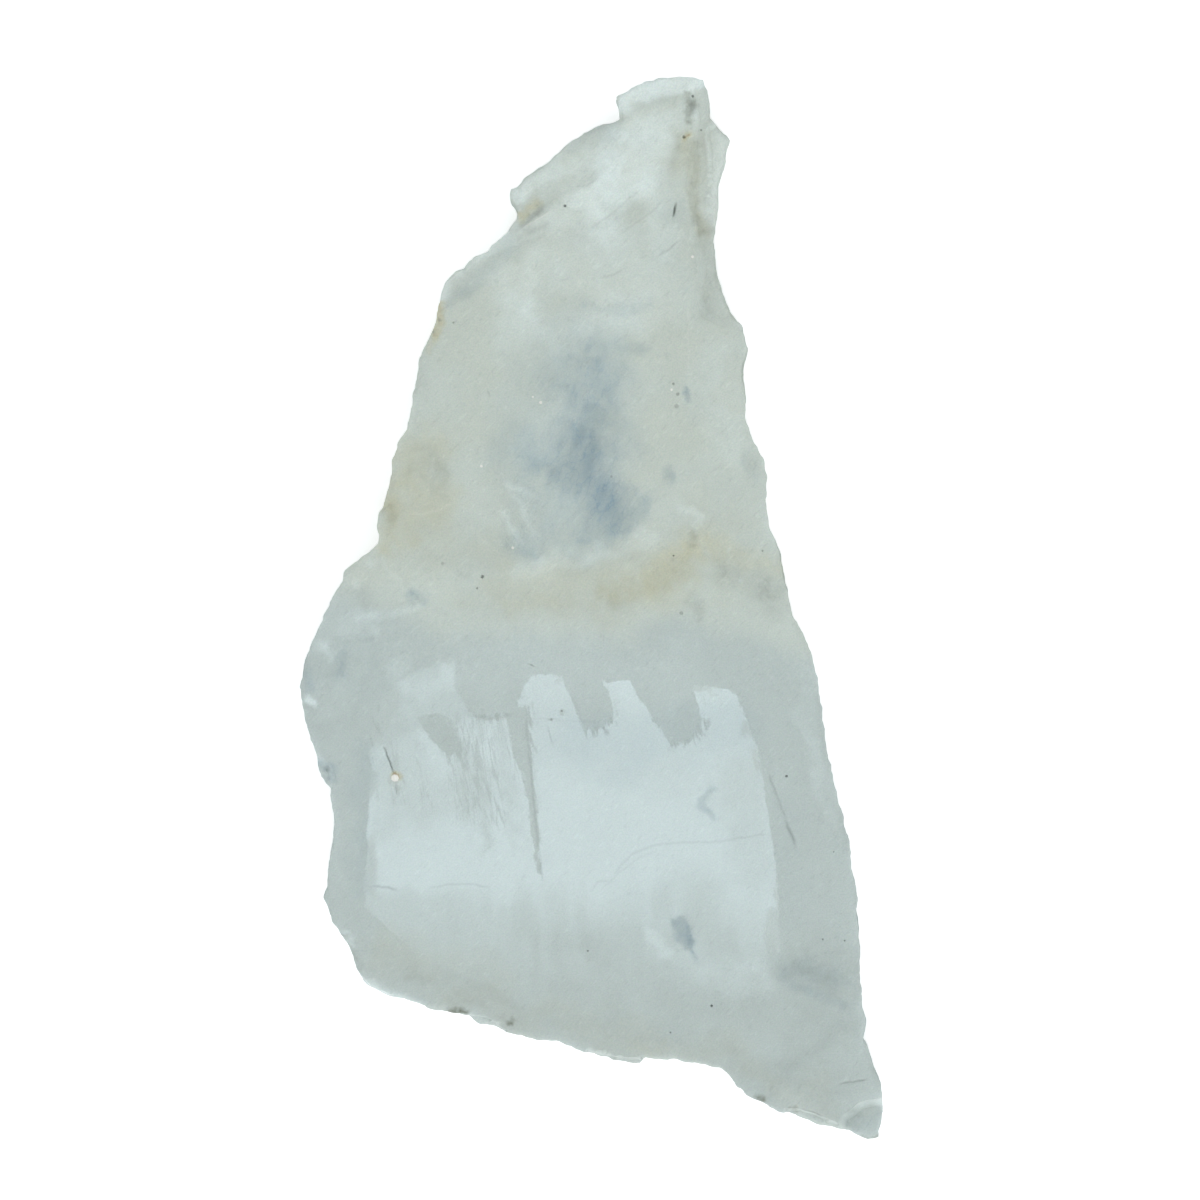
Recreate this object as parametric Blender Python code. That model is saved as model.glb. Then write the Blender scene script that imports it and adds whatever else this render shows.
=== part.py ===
"""A natural selenite slab: one cleaved piece of gypsum crystal, lying on its flat underside.

The slab is a stack of cleavage sheets that break off at ragged edges. Its outline is a chain of
corners, each sheet stops a little short of it or reaches it, and the broad upper face steps down in
shallow terraces where thin sheets have come away. +Y runs along the slab to its tip, +Z is up.
"""

import math

import bmesh
import bpy
from mathutils import Vector, noise
from mathutils.geometry import delaunay_2d_cdt

MM = 0.001

# Driving dimensions, in millimetres.
THICKNESS = 12.0  # of the thick lower half, at its flat window
TIP_THINNING = 3.0  # how much thinner the slab is at its tip
THINS_FROM, THINS_TO = 12.0, 80.0  # the stretch of Y along which it thins

# The outline's corners, anticlockwise from the tip, as seen from above.
TIP = [
    (18.7, 88.2), (17.5, 88.5), (14.7, 88.6), (11.3, 88.3), (8.8, 87.7), (6.3, 86.7), (4.0, 85.2),
    (4.5, 83.2), (4.6, 81.5),
]
SHOULDER_EDGE = [
    (2.8, 81.0), (-1.5, 79.5), (-5.3, 76.3), (-9.5, 72.8), (-11.2, 71.7), (-12.3, 70.2),
    (-13.3, 69.8), (-13.5, 68.2), (-12.3, 65.8), (-12.5, 64.8),
]
WEST_EDGE = [
    (-15.3, 61.7), (-17.5, 59.8), (-19.7, 58.7), (-21.3, 56.7), (-22.7, 56.2), (-24.2, 54.3),
    (-25.3, 51.5), (-26.0, 47.8), (-27.0, 44.8), (-28.8, 41.5), (-29.3, 37.8), (-30.0, 32.8),
    (-31.0, 29.5), (-32.3, 27.3), (-33.2, 23.2), (-34.2, 18.7), (-35.3, 16.2), (-35.5, 12.8),
    (-35.3, 10.8),
]
BULGE_EDGE = [
    (-38.0, 8.7), (-40.7, 6.2), (-42.7, 2.5), (-44.5, -1.3), (-46.7, -5.5), (-48.2, -9.2),
    (-48.7, -13.0), (-47.8, -17.5), (-46.7, -21.8), (-45.7, -24.3), (-45.2, -28.0), (-43.5, -30.0),
    (-43.2, -33.8), (-43.2, -38.5), (-44.0, -43.8), (-44.5, -48.0), (-43.2, -52.0), (-40.3, -56.7),
    (-38.2, -62.2),
]
FOOT_EDGE = [
    (-37.2, -63.3), (-32.0, -65.2), (-29.3, -65.7), (-27.3, -66.7), (-20.7, -67.8), (-19.3, -69.2),
    (-15.7, -70.0), (-11.2, -71.3), (-9.5, -72.0), (-5.3, -72.3), (-0.8, -73.8), (3.0, -75.0),
    (6.8, -76.1), (8.0, -75.8), (9.0, -74.9), (16.3, -75.5), (21.0, -76.2), (22.8, -77.7),
    (23.8, -79.5), (25.5, -81.0), (30.8, -83.5), (33.0, -84.0), (38.0, -86.2), (42.7, -87.3),
    (46.0, -88.6), (48.2, -88.3),
]
EAST_EDGE = [
    (48.7, -83.0), (48.0, -78.0), (46.5, -75.0), (45.3, -71.7), (45.5, -70.0), (44.8, -63.8),
    (44.6, -53.8), (43.7, -45.5), (42.7, -38.5), (41.0, -31.3), (39.3, -24.7), (37.7, -13.8),
    (37.6, -11.8), (36.5, -8.0), (35.2, -4.3), (33.5, -0.2), (32.2, 5.3), (30.8, 11.2),
    (29.2, 15.3), (28.8, 17.8), (29.2, 21.2), (28.0, 26.2), (26.0, 30.2), (25.5, 32.3),
    (25.8, 34.5), (25.2, 39.2), (26.1, 43.2), (25.2, 47.0), (23.5, 48.8), (21.7, 52.3),
    (20.8, 57.0), (20.5, 61.2), (21.3, 70.3), (23.3, 78.2), (21.3, 80.3), (19.8, 82.0),
    (19.8, 84.5), (19.3, 86.5),
]
OUTLINE = TIP + SHOULDER_EDGE + WEST_EDGE + BULGE_EDGE + FOOT_EDGE + EAST_EDGE

# Terraces of the upper face: the area where sheets have come away, how far down, and how wide the
# step is. Where an area runs past the outline, the terrace is open to the edge.
UPPER_TERRACES = {
    "shoulder": (
        [(4.0, 82.3), (5.4, 80.5), (5.2, 76.2), (1.3, 72.3), (-2.3, 69.6), (-6.0, 67.4),
         (-11.5, 62.8), (-17.0, 62.3), (-22.0, 72.0), (-8.0, 86.0), (2.5, 86.0)],
        2.3, 1.3,
    ),
    "flank": (
        [(-28.0, 46.5), (-20.5, 51.5), (-13.5, 57.5), (-8.5, 62.0), (-12.0, 63.5), (-17.0, 63.0),
         (-30.0, 56.0)],
        1.4, 2.4,
    ),
    "gully": (
        [(15.8, 90.0), (15.7, 79.5), (16.4, 76.0), (16.3, 60.0), (17.3, 53.0), (22.5, 47.5),
         (30.0, 46.5), (30.0, 90.0)],
        1.9, 1.6,
    ),
    "east_ledge": (
        [(19.9, 84.5), (20.0, 70.0), (19.5, 60.0), (30.0, 59.0), (30.0, 84.5)],
        2.6, 0.9,
    ),
    "cap": (
        [(3.0, 81.6), (5.2, 81.9), (9.0, 83.4), (12.2, 84.3), (16.0, 86.0), (18.0, 95.0), (0.0, 95.0)],
        1.2, 1.7,
    ),
    "west_terrace": (
        [(-34.5, 12.0), (-33.3, 5.3), (-30.3, 0.5), (-41.2, -5.0), (-42.7, -15.5), (-41.2, -24.7),
         (-42.5, -31.0), (-55.0, -31.0), (-55.0, 12.0)],
        1.0, 1.1,
    ),
    "foot_slope": (
        [(-43.0, -54.0), (-35.3, -58.5), (-27.0, -59.7), (-18.7, -63.0), (-12.0, -67.2),
         (-10.5, -76.0), (-30.0, -76.0), (-50.0, -66.0)],
        1.5, 4.0,
    ),
    "heel_chip": (
        [(50.5, -78.5), (46.0, -81.0), (42.5, -83.5), (40.0, -86.0), (39.5, -92.0), (55.0, -92.0)],
        2.6, 2.6,
    ),
    "heel_lip": (
        [(29.0, -81.5), (36.5, -83.3), (42.5, -86.0), (42.0, -92.0), (28.0, -92.0)],
        2.0, 0.9,
    ),
}

# The same for the underside, where a flake is missing and the slab stands clear of the ground.
LOWER_TERRACES = {
    "under_tip": (
        [(-20.0, 63.0), (-6.0, 60.0), (8.0, 66.0), (30.0, 62.0), (30.0, 95.0), (-20.0, 95.0)],
        1.3, 1.4,
    ),
    "under_bulge": (
        [(-55.0, 6.0), (-38.5, 3.0), (-36.0, -9.0), (-39.5, -19.0), (-55.0, -24.0)],
        1.6, 1.2,
    ),
    "under_heel": (
        [(27.0, -90.0), (31.0, -78.5), (41.0, -70.5), (55.0, -66.0), (55.0, -95.0)],
        1.4, 1.2,
    ),
}

# A shallow hollow in the upper half's face, and the low swell that closes it towards the window.
HOLLOW_CENTRE, HOLLOW_RADII, HOLLOW_DEPTH = Vector((-1.2, 25.3)), (17.0, 21.0), 0.5
SWELL_LINE = [(-32.0, 6.0), (-15.0, 5.0), (0.0, 5.0), (10.0, 9.0), (18.0, 13.0), (30.0, 8.0)]
SWELL_HEIGHT, SWELL_HALF_WIDTH = 0.4, 5.0

# The cleavage sheets seen at the edge: the level of each one's underside, and how far it may stop
# short of the outline. The last sheet ends at the upper face.
SHEETS = [(0.0, 1.6), (3.2, 0.0), (5.6, 1.7), (8.6, 1.3)]
SHEET_SHADOW = 0.25  # the slant of the ledge between two sheets
RIM_DROP, RIM_SETBACK = 0.5, 0.7  # the chamfer that wear leaves round the broad faces
LEAST_RISE = 0.08  # between one ring of points and the next, where the slab is thin

# Fracture.
CORNER_SPACING = 3.6  # longest straight stretch of a sheet's edge
FRAY_DEPTH, FRAY_LENGTH = 0.35, 4.5  # ragged edge: how deep and how long its teeth are
SETBACK_LENGTH = 17.0  # how far along the edge a sheet keeps to one setback
UPPER_SPACING, LOWER_SPACING = 5.5, 12.0  # between the points that carry the broad faces
FACE_MARGIN = 1.6  # those points keep this far from the rim
LEDGE_SPACING = 3.4  # between the points along a terrace's step
NORMAL_REACH = 2.4  # the edge's direction is read over this distance each way


def resampled(points, spacing):
    """A closed chain with each straight stretch cut so that no piece is longer than spacing."""
    found = []
    for a, b in zip(points, points[1:] + points[:1]):
        a, b = Vector(a), Vector(b)
        pieces = max(1, math.ceil((b - a).length / spacing))
        found += [a.lerp(b, i / pieces) for i in range(pieces)]
    return found


def along(chain, start, distance):
    """The point at this distance along a closed chain from one of its points, forward or back."""
    step = 1 if distance > 0 else -1
    left, i = abs(distance), start
    while True:
        a, b = chain[i % len(chain)], chain[(i + step) % len(chain)]
        length = (b - a).length
        if length >= left:
            return a.lerp(b, left / length)
        left -= length
        i += step


def outward_normals(chain):
    """For each point of an anticlockwise chain, the direction that leads out of it."""
    normals = []
    for i in range(len(chain)):
        way = along(chain, i, NORMAL_REACH) - along(chain, i, -NORMAL_REACH)
        normals.append(Vector((way.y, -way.x)).normalized())
    return normals


def noise_at(point, length, layer):
    """Smooth noise from -1 to 1 that changes over this length, different for each layer."""
    return noise.noise(Vector((point.x / length, point.y / length, 7.3 * layer + 0.5)))


def inside(point, area):
    """True if a point lies in a polygon."""
    odd = False
    for (ax, ay), (bx, by) in zip(area, area[1:] + area[:1]):
        if (ay > point.y) != (by > point.y):
            odd ^= point.x < ax + (point.y - ay) / (by - ay) * (bx - ax)
    return odd


def distance_to(point, chain, closed=True):
    """The distance from a point to a chain of straight stretches."""
    least = math.inf
    ends = zip(chain, chain[1:] + chain[:1]) if closed else zip(chain, chain[1:])
    for a, b in ends:
        a, b = Vector(a), Vector(b)
        share = (point - a).dot(b - a) / (b - a).length_squared
        least = min(least, (point - a.lerp(b, min(1.0, max(0.0, share)))).length)
    return least


def smooth(share):
    """Rises smoothly from 0 to 1 as share does."""
    share = min(1.0, max(0.0, share))
    return share * share * (3 - 2 * share)


def taken_off(point, terraces):
    """How far the terraces lower a broad face at a point. Where two meet, the deeper one counts."""
    cut = 0.0
    for area, drop, step in terraces.values():
        if inside(point, area):
            cut = max(cut, drop * min(1.0, distance_to(point, area) / step))
    return cut


def upper_height(point):
    """The upper face's height at a point."""
    thinning = TIP_THINNING * smooth((point.y - THINS_FROM) / (THINS_TO - THINS_FROM))
    offset = point - HOLLOW_CENTRE
    reach = math.hypot(offset.x / HOLLOW_RADII[0], offset.y / HOLLOW_RADII[1])
    hollow = HOLLOW_DEPTH * (1 - smooth(reach))
    swell = SWELL_HEIGHT * (1 - smooth(distance_to(point, SWELL_LINE, False) / SWELL_HALF_WIDTH))
    return THICKNESS - thinning - hollow + swell - taken_off(point, UPPER_TERRACES)


def lower_height(point):
    """The underside's height at a point: flat on the ground but for its missing flakes."""
    return taken_off(point, LOWER_TERRACES)


def frayed_outline():
    """The outline with ragged teeth, and the direction out of it at each point."""
    chain = resampled(OUTLINE, CORNER_SPACING)
    normals = outward_normals(chain)
    chain = [
        point + normal * FRAY_DEPTH * noise_at(point, FRAY_LENGTH, 0)
        for point, normal in zip(chain, normals)
    ]
    return chain, normals


def sheet_levels():
    """For each ring of points between the broad faces: its level, its sheet and its setback."""
    levels = []
    for layer, (level, setback) in enumerate(SHEETS):
        last = layer == len(SHEETS) - 1
        top = THICKNESS if last else SHEETS[layer + 1][0] - SHEET_SHADOW
        levels.append((level, layer, setback))
        levels.append((top, layer, setback))
    return levels


def set_back(point, normal, layer, setback, chamfer):
    """A point of the outline, drawn in by as much as this sheet stops short of it there."""
    share = min(1.0, max(0.0, 0.5 + 0.75 * noise_at(point, SETBACK_LENGTH, layer + 1)))
    tooth = FRAY_DEPTH * noise_at(point, FRAY_LENGTH, layer + 1) / 2 if setback else 0.0
    return point - normal * max(0.0, chamfer + share * setback + tooth)


def sheet_rings(chain, normals):
    """The rings of points up the slab's edge, from its underside to its upper face."""
    levels = sheet_levels()
    rings = [[], *([] for _ in levels), []]
    for point, normal in zip(chain, normals):
        here = set_back(point, normal, 0, SHEETS[0][1], RIM_SETBACK)
        rings[0].append(Vector((*here, lower_height(here))))
        for number, (level, layer, setback) in enumerate(levels):
            here = set_back(point, normal, layer, setback, 0.0)
            low = lower_height(here) + RIM_DROP + LEAST_RISE * number
            high = upper_height(here) - RIM_DROP - LEAST_RISE * (len(levels) - 1 - number)
            rings[number + 1].append(Vector((*here, min(max(level, low), high))))
        here = set_back(point, normal, len(SHEETS) - 1, SHEETS[-1][1], RIM_SETBACK)
        rings[-1].append(Vector((*here, upper_height(here))))
    return rings


def ledge_lines(terraces, rim):
    """The head and foot of each terrace's step, as chains of points that lie inside the rim."""
    lines = []
    for area, _, step in terraces.values():
        chain = resampled(area, LEDGE_SPACING)
        turned = sum(a.x * b.y - b.x * a.y for a, b in zip(chain, chain[1:] + chain[:1]))
        inward = -step if turned > 0 else step
        normals = outward_normals(chain)
        for shift in (0.0, inward):
            line = []
            for point, normal in zip([*chain, chain[0]], [*normals, normals[0]]):
                place = point + normal * shift
                if inside(place, rim) and distance_to(place, rim) > FACE_MARGIN / 2:
                    line.append(place)
                else:
                    lines.append(line)
                    line = []
            lines.append(line)
    return [line for line in lines if len(line) > 1]


def face_points(rim, lines, spacing):
    """A staggered grid of points over a broad face, clear of its rim and its steps."""
    marks = [place for line in lines for place in line]
    found = []
    row_height = spacing * math.sqrt(3) / 2
    low = Vector((min(p[0] for p in rim), min(p[1] for p in rim)))
    high = Vector((max(p[0] for p in rim), max(p[1] for p in rim)))
    for row in range(int((high.y - low.y) / row_height) + 1):
        for column in range(int((high.x - low.x) / spacing) + 1):
            place = low + Vector(((column + row % 2 / 2) * spacing, row * row_height))
            place += Vector((noise_at(place, spacing, 21), noise_at(place, spacing, 22)))
            if not inside(place, rim) or distance_to(place, rim) < FACE_MARGIN:
                continue
            if all((place - mark).length > spacing / 2 for mark in marks):
                found.append(place)
    return found


def add_broad_face(mesh, ring, terraces, height, spacing):
    """Closes one end of the edge with a face that carries its terraces."""
    rim = [(corner.co.x, corner.co.y) for corner in ring]
    lines = ledge_lines(terraces, rim)
    places = [Vector(corner) for corner in rim]
    edges = []
    for line in lines:
        first = len(places)
        places += line
        edges += [(first + i, first + i + 1) for i in range(len(line) - 1)]
    places += face_points(rim, lines, spacing)
    found, _, triangles, sources, _, _ = delaunay_2d_cdt(
        places, edges, [list(range(len(rim)))], 1, 0.05
    )
    corners = []
    for place, source in zip(found, sources):
        on_rim = [number for number in source if number < len(rim)]
        if on_rim:
            corners.append(ring[on_rim[0]])
        else:
            corners.append(mesh.verts.new((place.x, place.y, height(place))))
    for triangle in triangles:
        mesh.faces.new([corners[number] for number in triangle])


def slab_mesh():
    """The whole slab as one closed mesh, in millimetres."""
    mesh = bmesh.new()
    chain, normals = frayed_outline()
    rings = [[mesh.verts.new(place) for place in ring] for ring in sheet_rings(chain, normals)]
    for below, above in zip(rings, rings[1:]):
        for i in range(len(below)):
            after = (i + 1) % len(below)
            mesh.faces.new((below[i], below[after], above[after]))
            mesh.faces.new((below[i], above[after], above[i]))
    add_broad_face(mesh, rings[-1], UPPER_TERRACES, upper_height, UPPER_SPACING)
    add_broad_face(mesh, rings[0], LOWER_TERRACES, lower_height, LOWER_SPACING)
    bmesh.ops.recalc_face_normals(mesh, faces=mesh.faces)
    return mesh


def centre_on_base(mesh):
    """Moves the mesh so that the middle of its box's underside is the origin."""
    for axis in range(3):
        values = [corner.co[axis] for corner in mesh.verts]
        middle = min(values) if axis == 2 else (min(values) + max(values)) / 2
        for corner in mesh.verts:
            corner.co[axis] -= middle


def selenite():
    """Pale grey-green gypsum crystal, cloudy but see-through."""
    material = bpy.data.materials.new("selenite")
    material.use_nodes = True
    surface = material.node_tree.nodes["Principled BSDF"]
    surface.inputs["Base Color"].default_value = (0.56, 0.65, 0.62, 1.0)
    surface.inputs["Roughness"].default_value = 0.35
    surface.inputs["Metallic"].default_value = 0.0
    surface.inputs["IOR"].default_value = 1.52
    surface.inputs["Transmission Weight"].default_value = 0.45
    return material


def main():
    for thing in list(bpy.data.objects):
        bpy.data.objects.remove(thing)
    mesh = slab_mesh()
    centre_on_base(mesh)
    bmesh.ops.scale(mesh, vec=(MM, MM, MM), verts=mesh.verts)
    data = bpy.data.meshes.new("selenite_slab")
    mesh.to_mesh(data)
    mesh.free()
    data.materials.append(selenite())
    slab = bpy.data.objects.new("selenite_slab", data)
    bpy.context.scene.collection.objects.link(slab)


main()
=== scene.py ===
"""The looks of the selenite slab: its fine cleavage steps, its cloudy crystal and its studio.

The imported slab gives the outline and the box. The fine slab that replaces it is one closed mesh: a
broad upper face with terraces and cracks, a stack of ragged cleavage sheets round the edge, and an
underside. Its clouds, stains and cleavage window are fields worked out at each point of the mesh,
which the material's nodes break up and colour. Lengths are in millimetres in the slab's own frame,
with +Y towards its tip and +Z up, until the mesh is made.
"""

import math

import bmesh
import bpy
import numpy as np
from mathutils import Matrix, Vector, kdtree
from mathutils.geometry import delaunay_2d_cdt


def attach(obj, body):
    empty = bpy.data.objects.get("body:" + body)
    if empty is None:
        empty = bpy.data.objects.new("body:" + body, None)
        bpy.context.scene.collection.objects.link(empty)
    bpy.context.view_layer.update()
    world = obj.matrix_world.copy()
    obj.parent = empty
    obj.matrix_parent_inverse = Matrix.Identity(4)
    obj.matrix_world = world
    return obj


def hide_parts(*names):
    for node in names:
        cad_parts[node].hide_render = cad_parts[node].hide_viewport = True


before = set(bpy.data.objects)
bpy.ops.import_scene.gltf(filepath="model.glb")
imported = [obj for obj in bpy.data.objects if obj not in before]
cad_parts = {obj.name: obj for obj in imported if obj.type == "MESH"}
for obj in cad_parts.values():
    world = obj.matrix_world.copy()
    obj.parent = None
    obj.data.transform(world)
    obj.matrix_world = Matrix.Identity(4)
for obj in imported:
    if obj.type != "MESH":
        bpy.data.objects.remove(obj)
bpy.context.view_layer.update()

MM = 0.001
NODE = "selenite_slab"

# The photograph's camera looks straight down. The terraces, lines and specks below are written where
# they are on the slab. The window, the body's line and all the marks are written where it sees them.
PHOTO_CENTRE = (1.33, 1.25)
PHOTO_WIDTH = 200.0  # the width of the view at the height in focus
FOCUS_HEIGHT = 8.0
LENS, SENSOR = 100.0, 36.0
PHOTO_DISTANCE = PHOTO_WIDTH * LENS / SENSOR

# The broad faces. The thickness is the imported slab's, at its flat window.
OUTLINE_HEIGHT = 4.3  # the sheet that reaches the outline is at this height
THICKNESS = 12.0
TIP_THINNING = 3.0
THINS_FROM, THINS_TO = 12.0, 80.0
HOLLOW_CENTRE, HOLLOW_RADII, HOLLOW_DEPTH = (-1.2, 25.3), (17.0, 21.0), 0.5
SWELL_LINE = [(-32.0, 6.0), (-15.0, 5.0), (0.0, 5.0), (10.0, 9.0), (18.0, 13.0), (30.0, 8.0)]
SWELL_HEIGHT, SWELL_HALF_WIDTH = 0.4, 5.0

# Noise is given by its length and seed, then by its octaves and gain where they aren't the usual ones.
NOISE_CELLS = 256  # before it repeats
NOISE_GAIN = 1.5
LUMP_HEIGHT, LUMPS = 0.12, (13.0, 5)
SMALL_LUMP_HEIGHT, SMALL_LUMPS = 0.03, (2.4, 9)
BROKEN_HEIGHT, BROKEN = 0.08, (2.2, 15)  # the floors of the terraces
BROKEN_FROM = 0.8  # how deep a terrace is fully broken
WINDOW_MARGIN = 6.0  # over which the lumps give way to the window's flat surface
# The first seed of each set of noises, and the usual step from one seed in a set to the next.
UPPER_SEED, LOWER_SEED, LINE_SEED, SETBACK_SEED, SHEET_SEED, SEED_STEP = 1000, 3000, 4000, 120, 140, 10
DULL_SEED, DEEP_AND_SHADE_SEED, FROST_SEED, STAIN_SEED, DIRT_AND_SHADOW_SEED, MARK_SEEDS = 5000, 7000, 8000, 9000, 10000, 20

# Terraces of the upper face, where sheets have come away: the area, how far down it lies, how wide
# its step is and how ragged the step's edge is. Past the outline an area has no meaning.
UPPER_TERRACES = {
    "shoulder": (
        [(4.5, 82.4), (5.0, 80.4), (4.3, 77.6), (3.3, 74.6), (1.3, 71.3), (-1.3, 69.6), (-4.3, 68.6),
         (-6.0, 68.1), (-7.2, 67.4), (-8.7, 65.9), (-10.2, 64.3), (-11.8, 62.8), (-13.7, 61.9),
         (-22.0, 64.0), (-16.0, 78.0), (0.0, 86.0)],
        1.5, 3.2, 0.4,
    ),
    "flank": (
        [(-6.0, 64.3), (-7.0, 62.6), (-9.5, 60.8), (-11.3, 58.6), (-13.7, 56.6), (-16.2, 54.9),
         (-19.0, 52.6), (-21.2, 50.9), (-23.7, 50.3), (-30.0, 50.0), (-30.0, 60.0), (-14.0, 62.5),
         (-11.3, 62.3), (-8.7, 63.4)],
        1.3, 3.8, 0.3,
    ),
    "gully": (
        [(15.6, 92.0), (15.7, 85.9), (16.0, 84.6), (16.3, 82.6), (16.5, 80.9), (16.3, 79.6),
         (16.0, 77.9), (15.8, 75.4), (16.2, 72.9), (15.8, 70.4), (15.7, 67.9), (15.5, 65.4),
         (16.0, 62.9), (16.3, 60.4), (17.2, 58.6), (17.3, 56.6), (17.0, 53.8), (16.8, 51.3),
         (17.6, 48.8), (21.0, 46.5), (30.0, 45.4), (30.0, 92.0)],
        1.1, 1.6, 0.3,
    ),
    "east_ledge": (
        [(20.0, 81.4), (19.0, 80.6), (18.3, 79.6), (18.5, 77.9), (19.0, 76.3), (19.0, 73.8),
         (18.8, 71.3), (18.7, 68.8), (19.0, 66.3), (19.4, 64.6), (20.0, 62.4), (30.0, 61.6),
         (30.0, 84.0), (20.5, 83.0)],
        1.8, 1.2, 0.3,
    ),
    "cap": (
        [(4.0, 80.9), (4.8, 80.9), (6.7, 82.1), (9.3, 82.9), (12.0, 84.1), (14.3, 84.9), (16.0, 85.9),
         (18.0, 87.3), (20.0, 95.0), (0.0, 95.0), (1.0, 83.0)],
        0.6, 1.8, 0.3,
    ),
    "west_terrace": (
        [(-35.7, 9.9), (-33.7, 6.9), (-30.7, 3.6), (-28.5, 1.3), (-29.0, -0.8), (-32.0, -0.1),
         (-34.3, -1.1), (-35.2, -3.9), (-36.8, -5.1), (-42.0, -5.6), (-42.2, -7.9), (-41.3, -10.1),
         (-43.2, -12.8), (-44.3, -15.4), (-45.7, -17.4), (-47.7, -18.1), (-55.0, -18.0),
         (-55.0, 12.0)],
        0.35, 0.9, 0.7,
    ),
    "west_notch": (
        [(-45.7, -24.1), (-44.3, -24.8), (-43.0, -26.4), (-42.3, -28.4), (-43.0, -29.8),
         (-50.0, -31.0), (-50.0, -23.0)],
        1.2, 1.2, 0.2,
    ),
    "foot_slope": (
        [(-43.0, -54.0), (-35.3, -58.5), (-27.0, -59.7), (-18.7, -63.0), (-12.0, -67.2),
         (-10.5, -76.0), (-30.0, -76.0), (-50.0, -66.0)],
        0.7, 5.0, 0.5,
    ),
    "foot_lip": (
        [(-38.6, -60.2), (-36.7, -62.4), (-33.7, -63.8), (-30.0, -65.1), (-28.6, -66.2),
         (-29.0, -72.0), (-45.0, -66.0)],
        1.5, 0.5, 0.2,
    ),
    "foot_flake": (
        [(-20.8, -67.2), (-19.0, -67.4), (-17.0, -67.9), (-15.3, -68.9), (-14.0, -70.4),
         (-14.0, -75.0), (-22.0, -75.0)],
        1.7, 0.4, 0.15,
    ),
    "toe_flake": (
        [(-1.0, -73.1), (0.7, -73.6), (3.3, -74.1), (5.7, -74.4), (7.3, -74.4), (8.9, -74.8),
         (10.0, -80.0), (-2.0, -80.0)],
        1.7, 0.4, 0.15,
    ),
    "heel_lip": (
        [(31.8, -82.6), (33.8, -82.8), (36.0, -83.4), (38.3, -84.3), (40.3, -84.9), (41.7, -86.1),
         (42.3, -88.0), (42.0, -92.0), (30.0, -92.0)],
        1.8, 0.6, 0.2,
    ),
    "heel_chip": (
        [(50.5, -80.9), (48.7, -81.1), (46.3, -81.4), (44.3, -81.9), (43.0, -82.9), (41.3, -84.1),
         (40.0, -86.5), (40.0, -92.0), (55.0, -92.0), (55.0, -81.0)],
        2.6, 1.8, 0.2,
    ),
}

# The same for the underside.
LOWER_TERRACES = {
    "under_tip": (
        [(-20.0, 63.0), (-6.0, 60.0), (8.0, 66.0), (30.0, 62.0), (30.0, 95.0), (-20.0, 95.0)],
        1.3, 1.0, 0.8,
    ),
    "under_bulge": (
        [(-55.0, 6.0), (-38.5, 3.0), (-36.0, -9.0), (-39.5, -19.0), (-55.0, -24.0)],
        1.6, 0.9, 0.7,
    ),
    "under_heel": (
        [(27.0, -90.0), (31.0, -78.5), (41.0, -70.5), (55.0, -66.0), (55.0, -95.0)],
        1.4, 0.9, 0.7,
    ),
}

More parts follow.
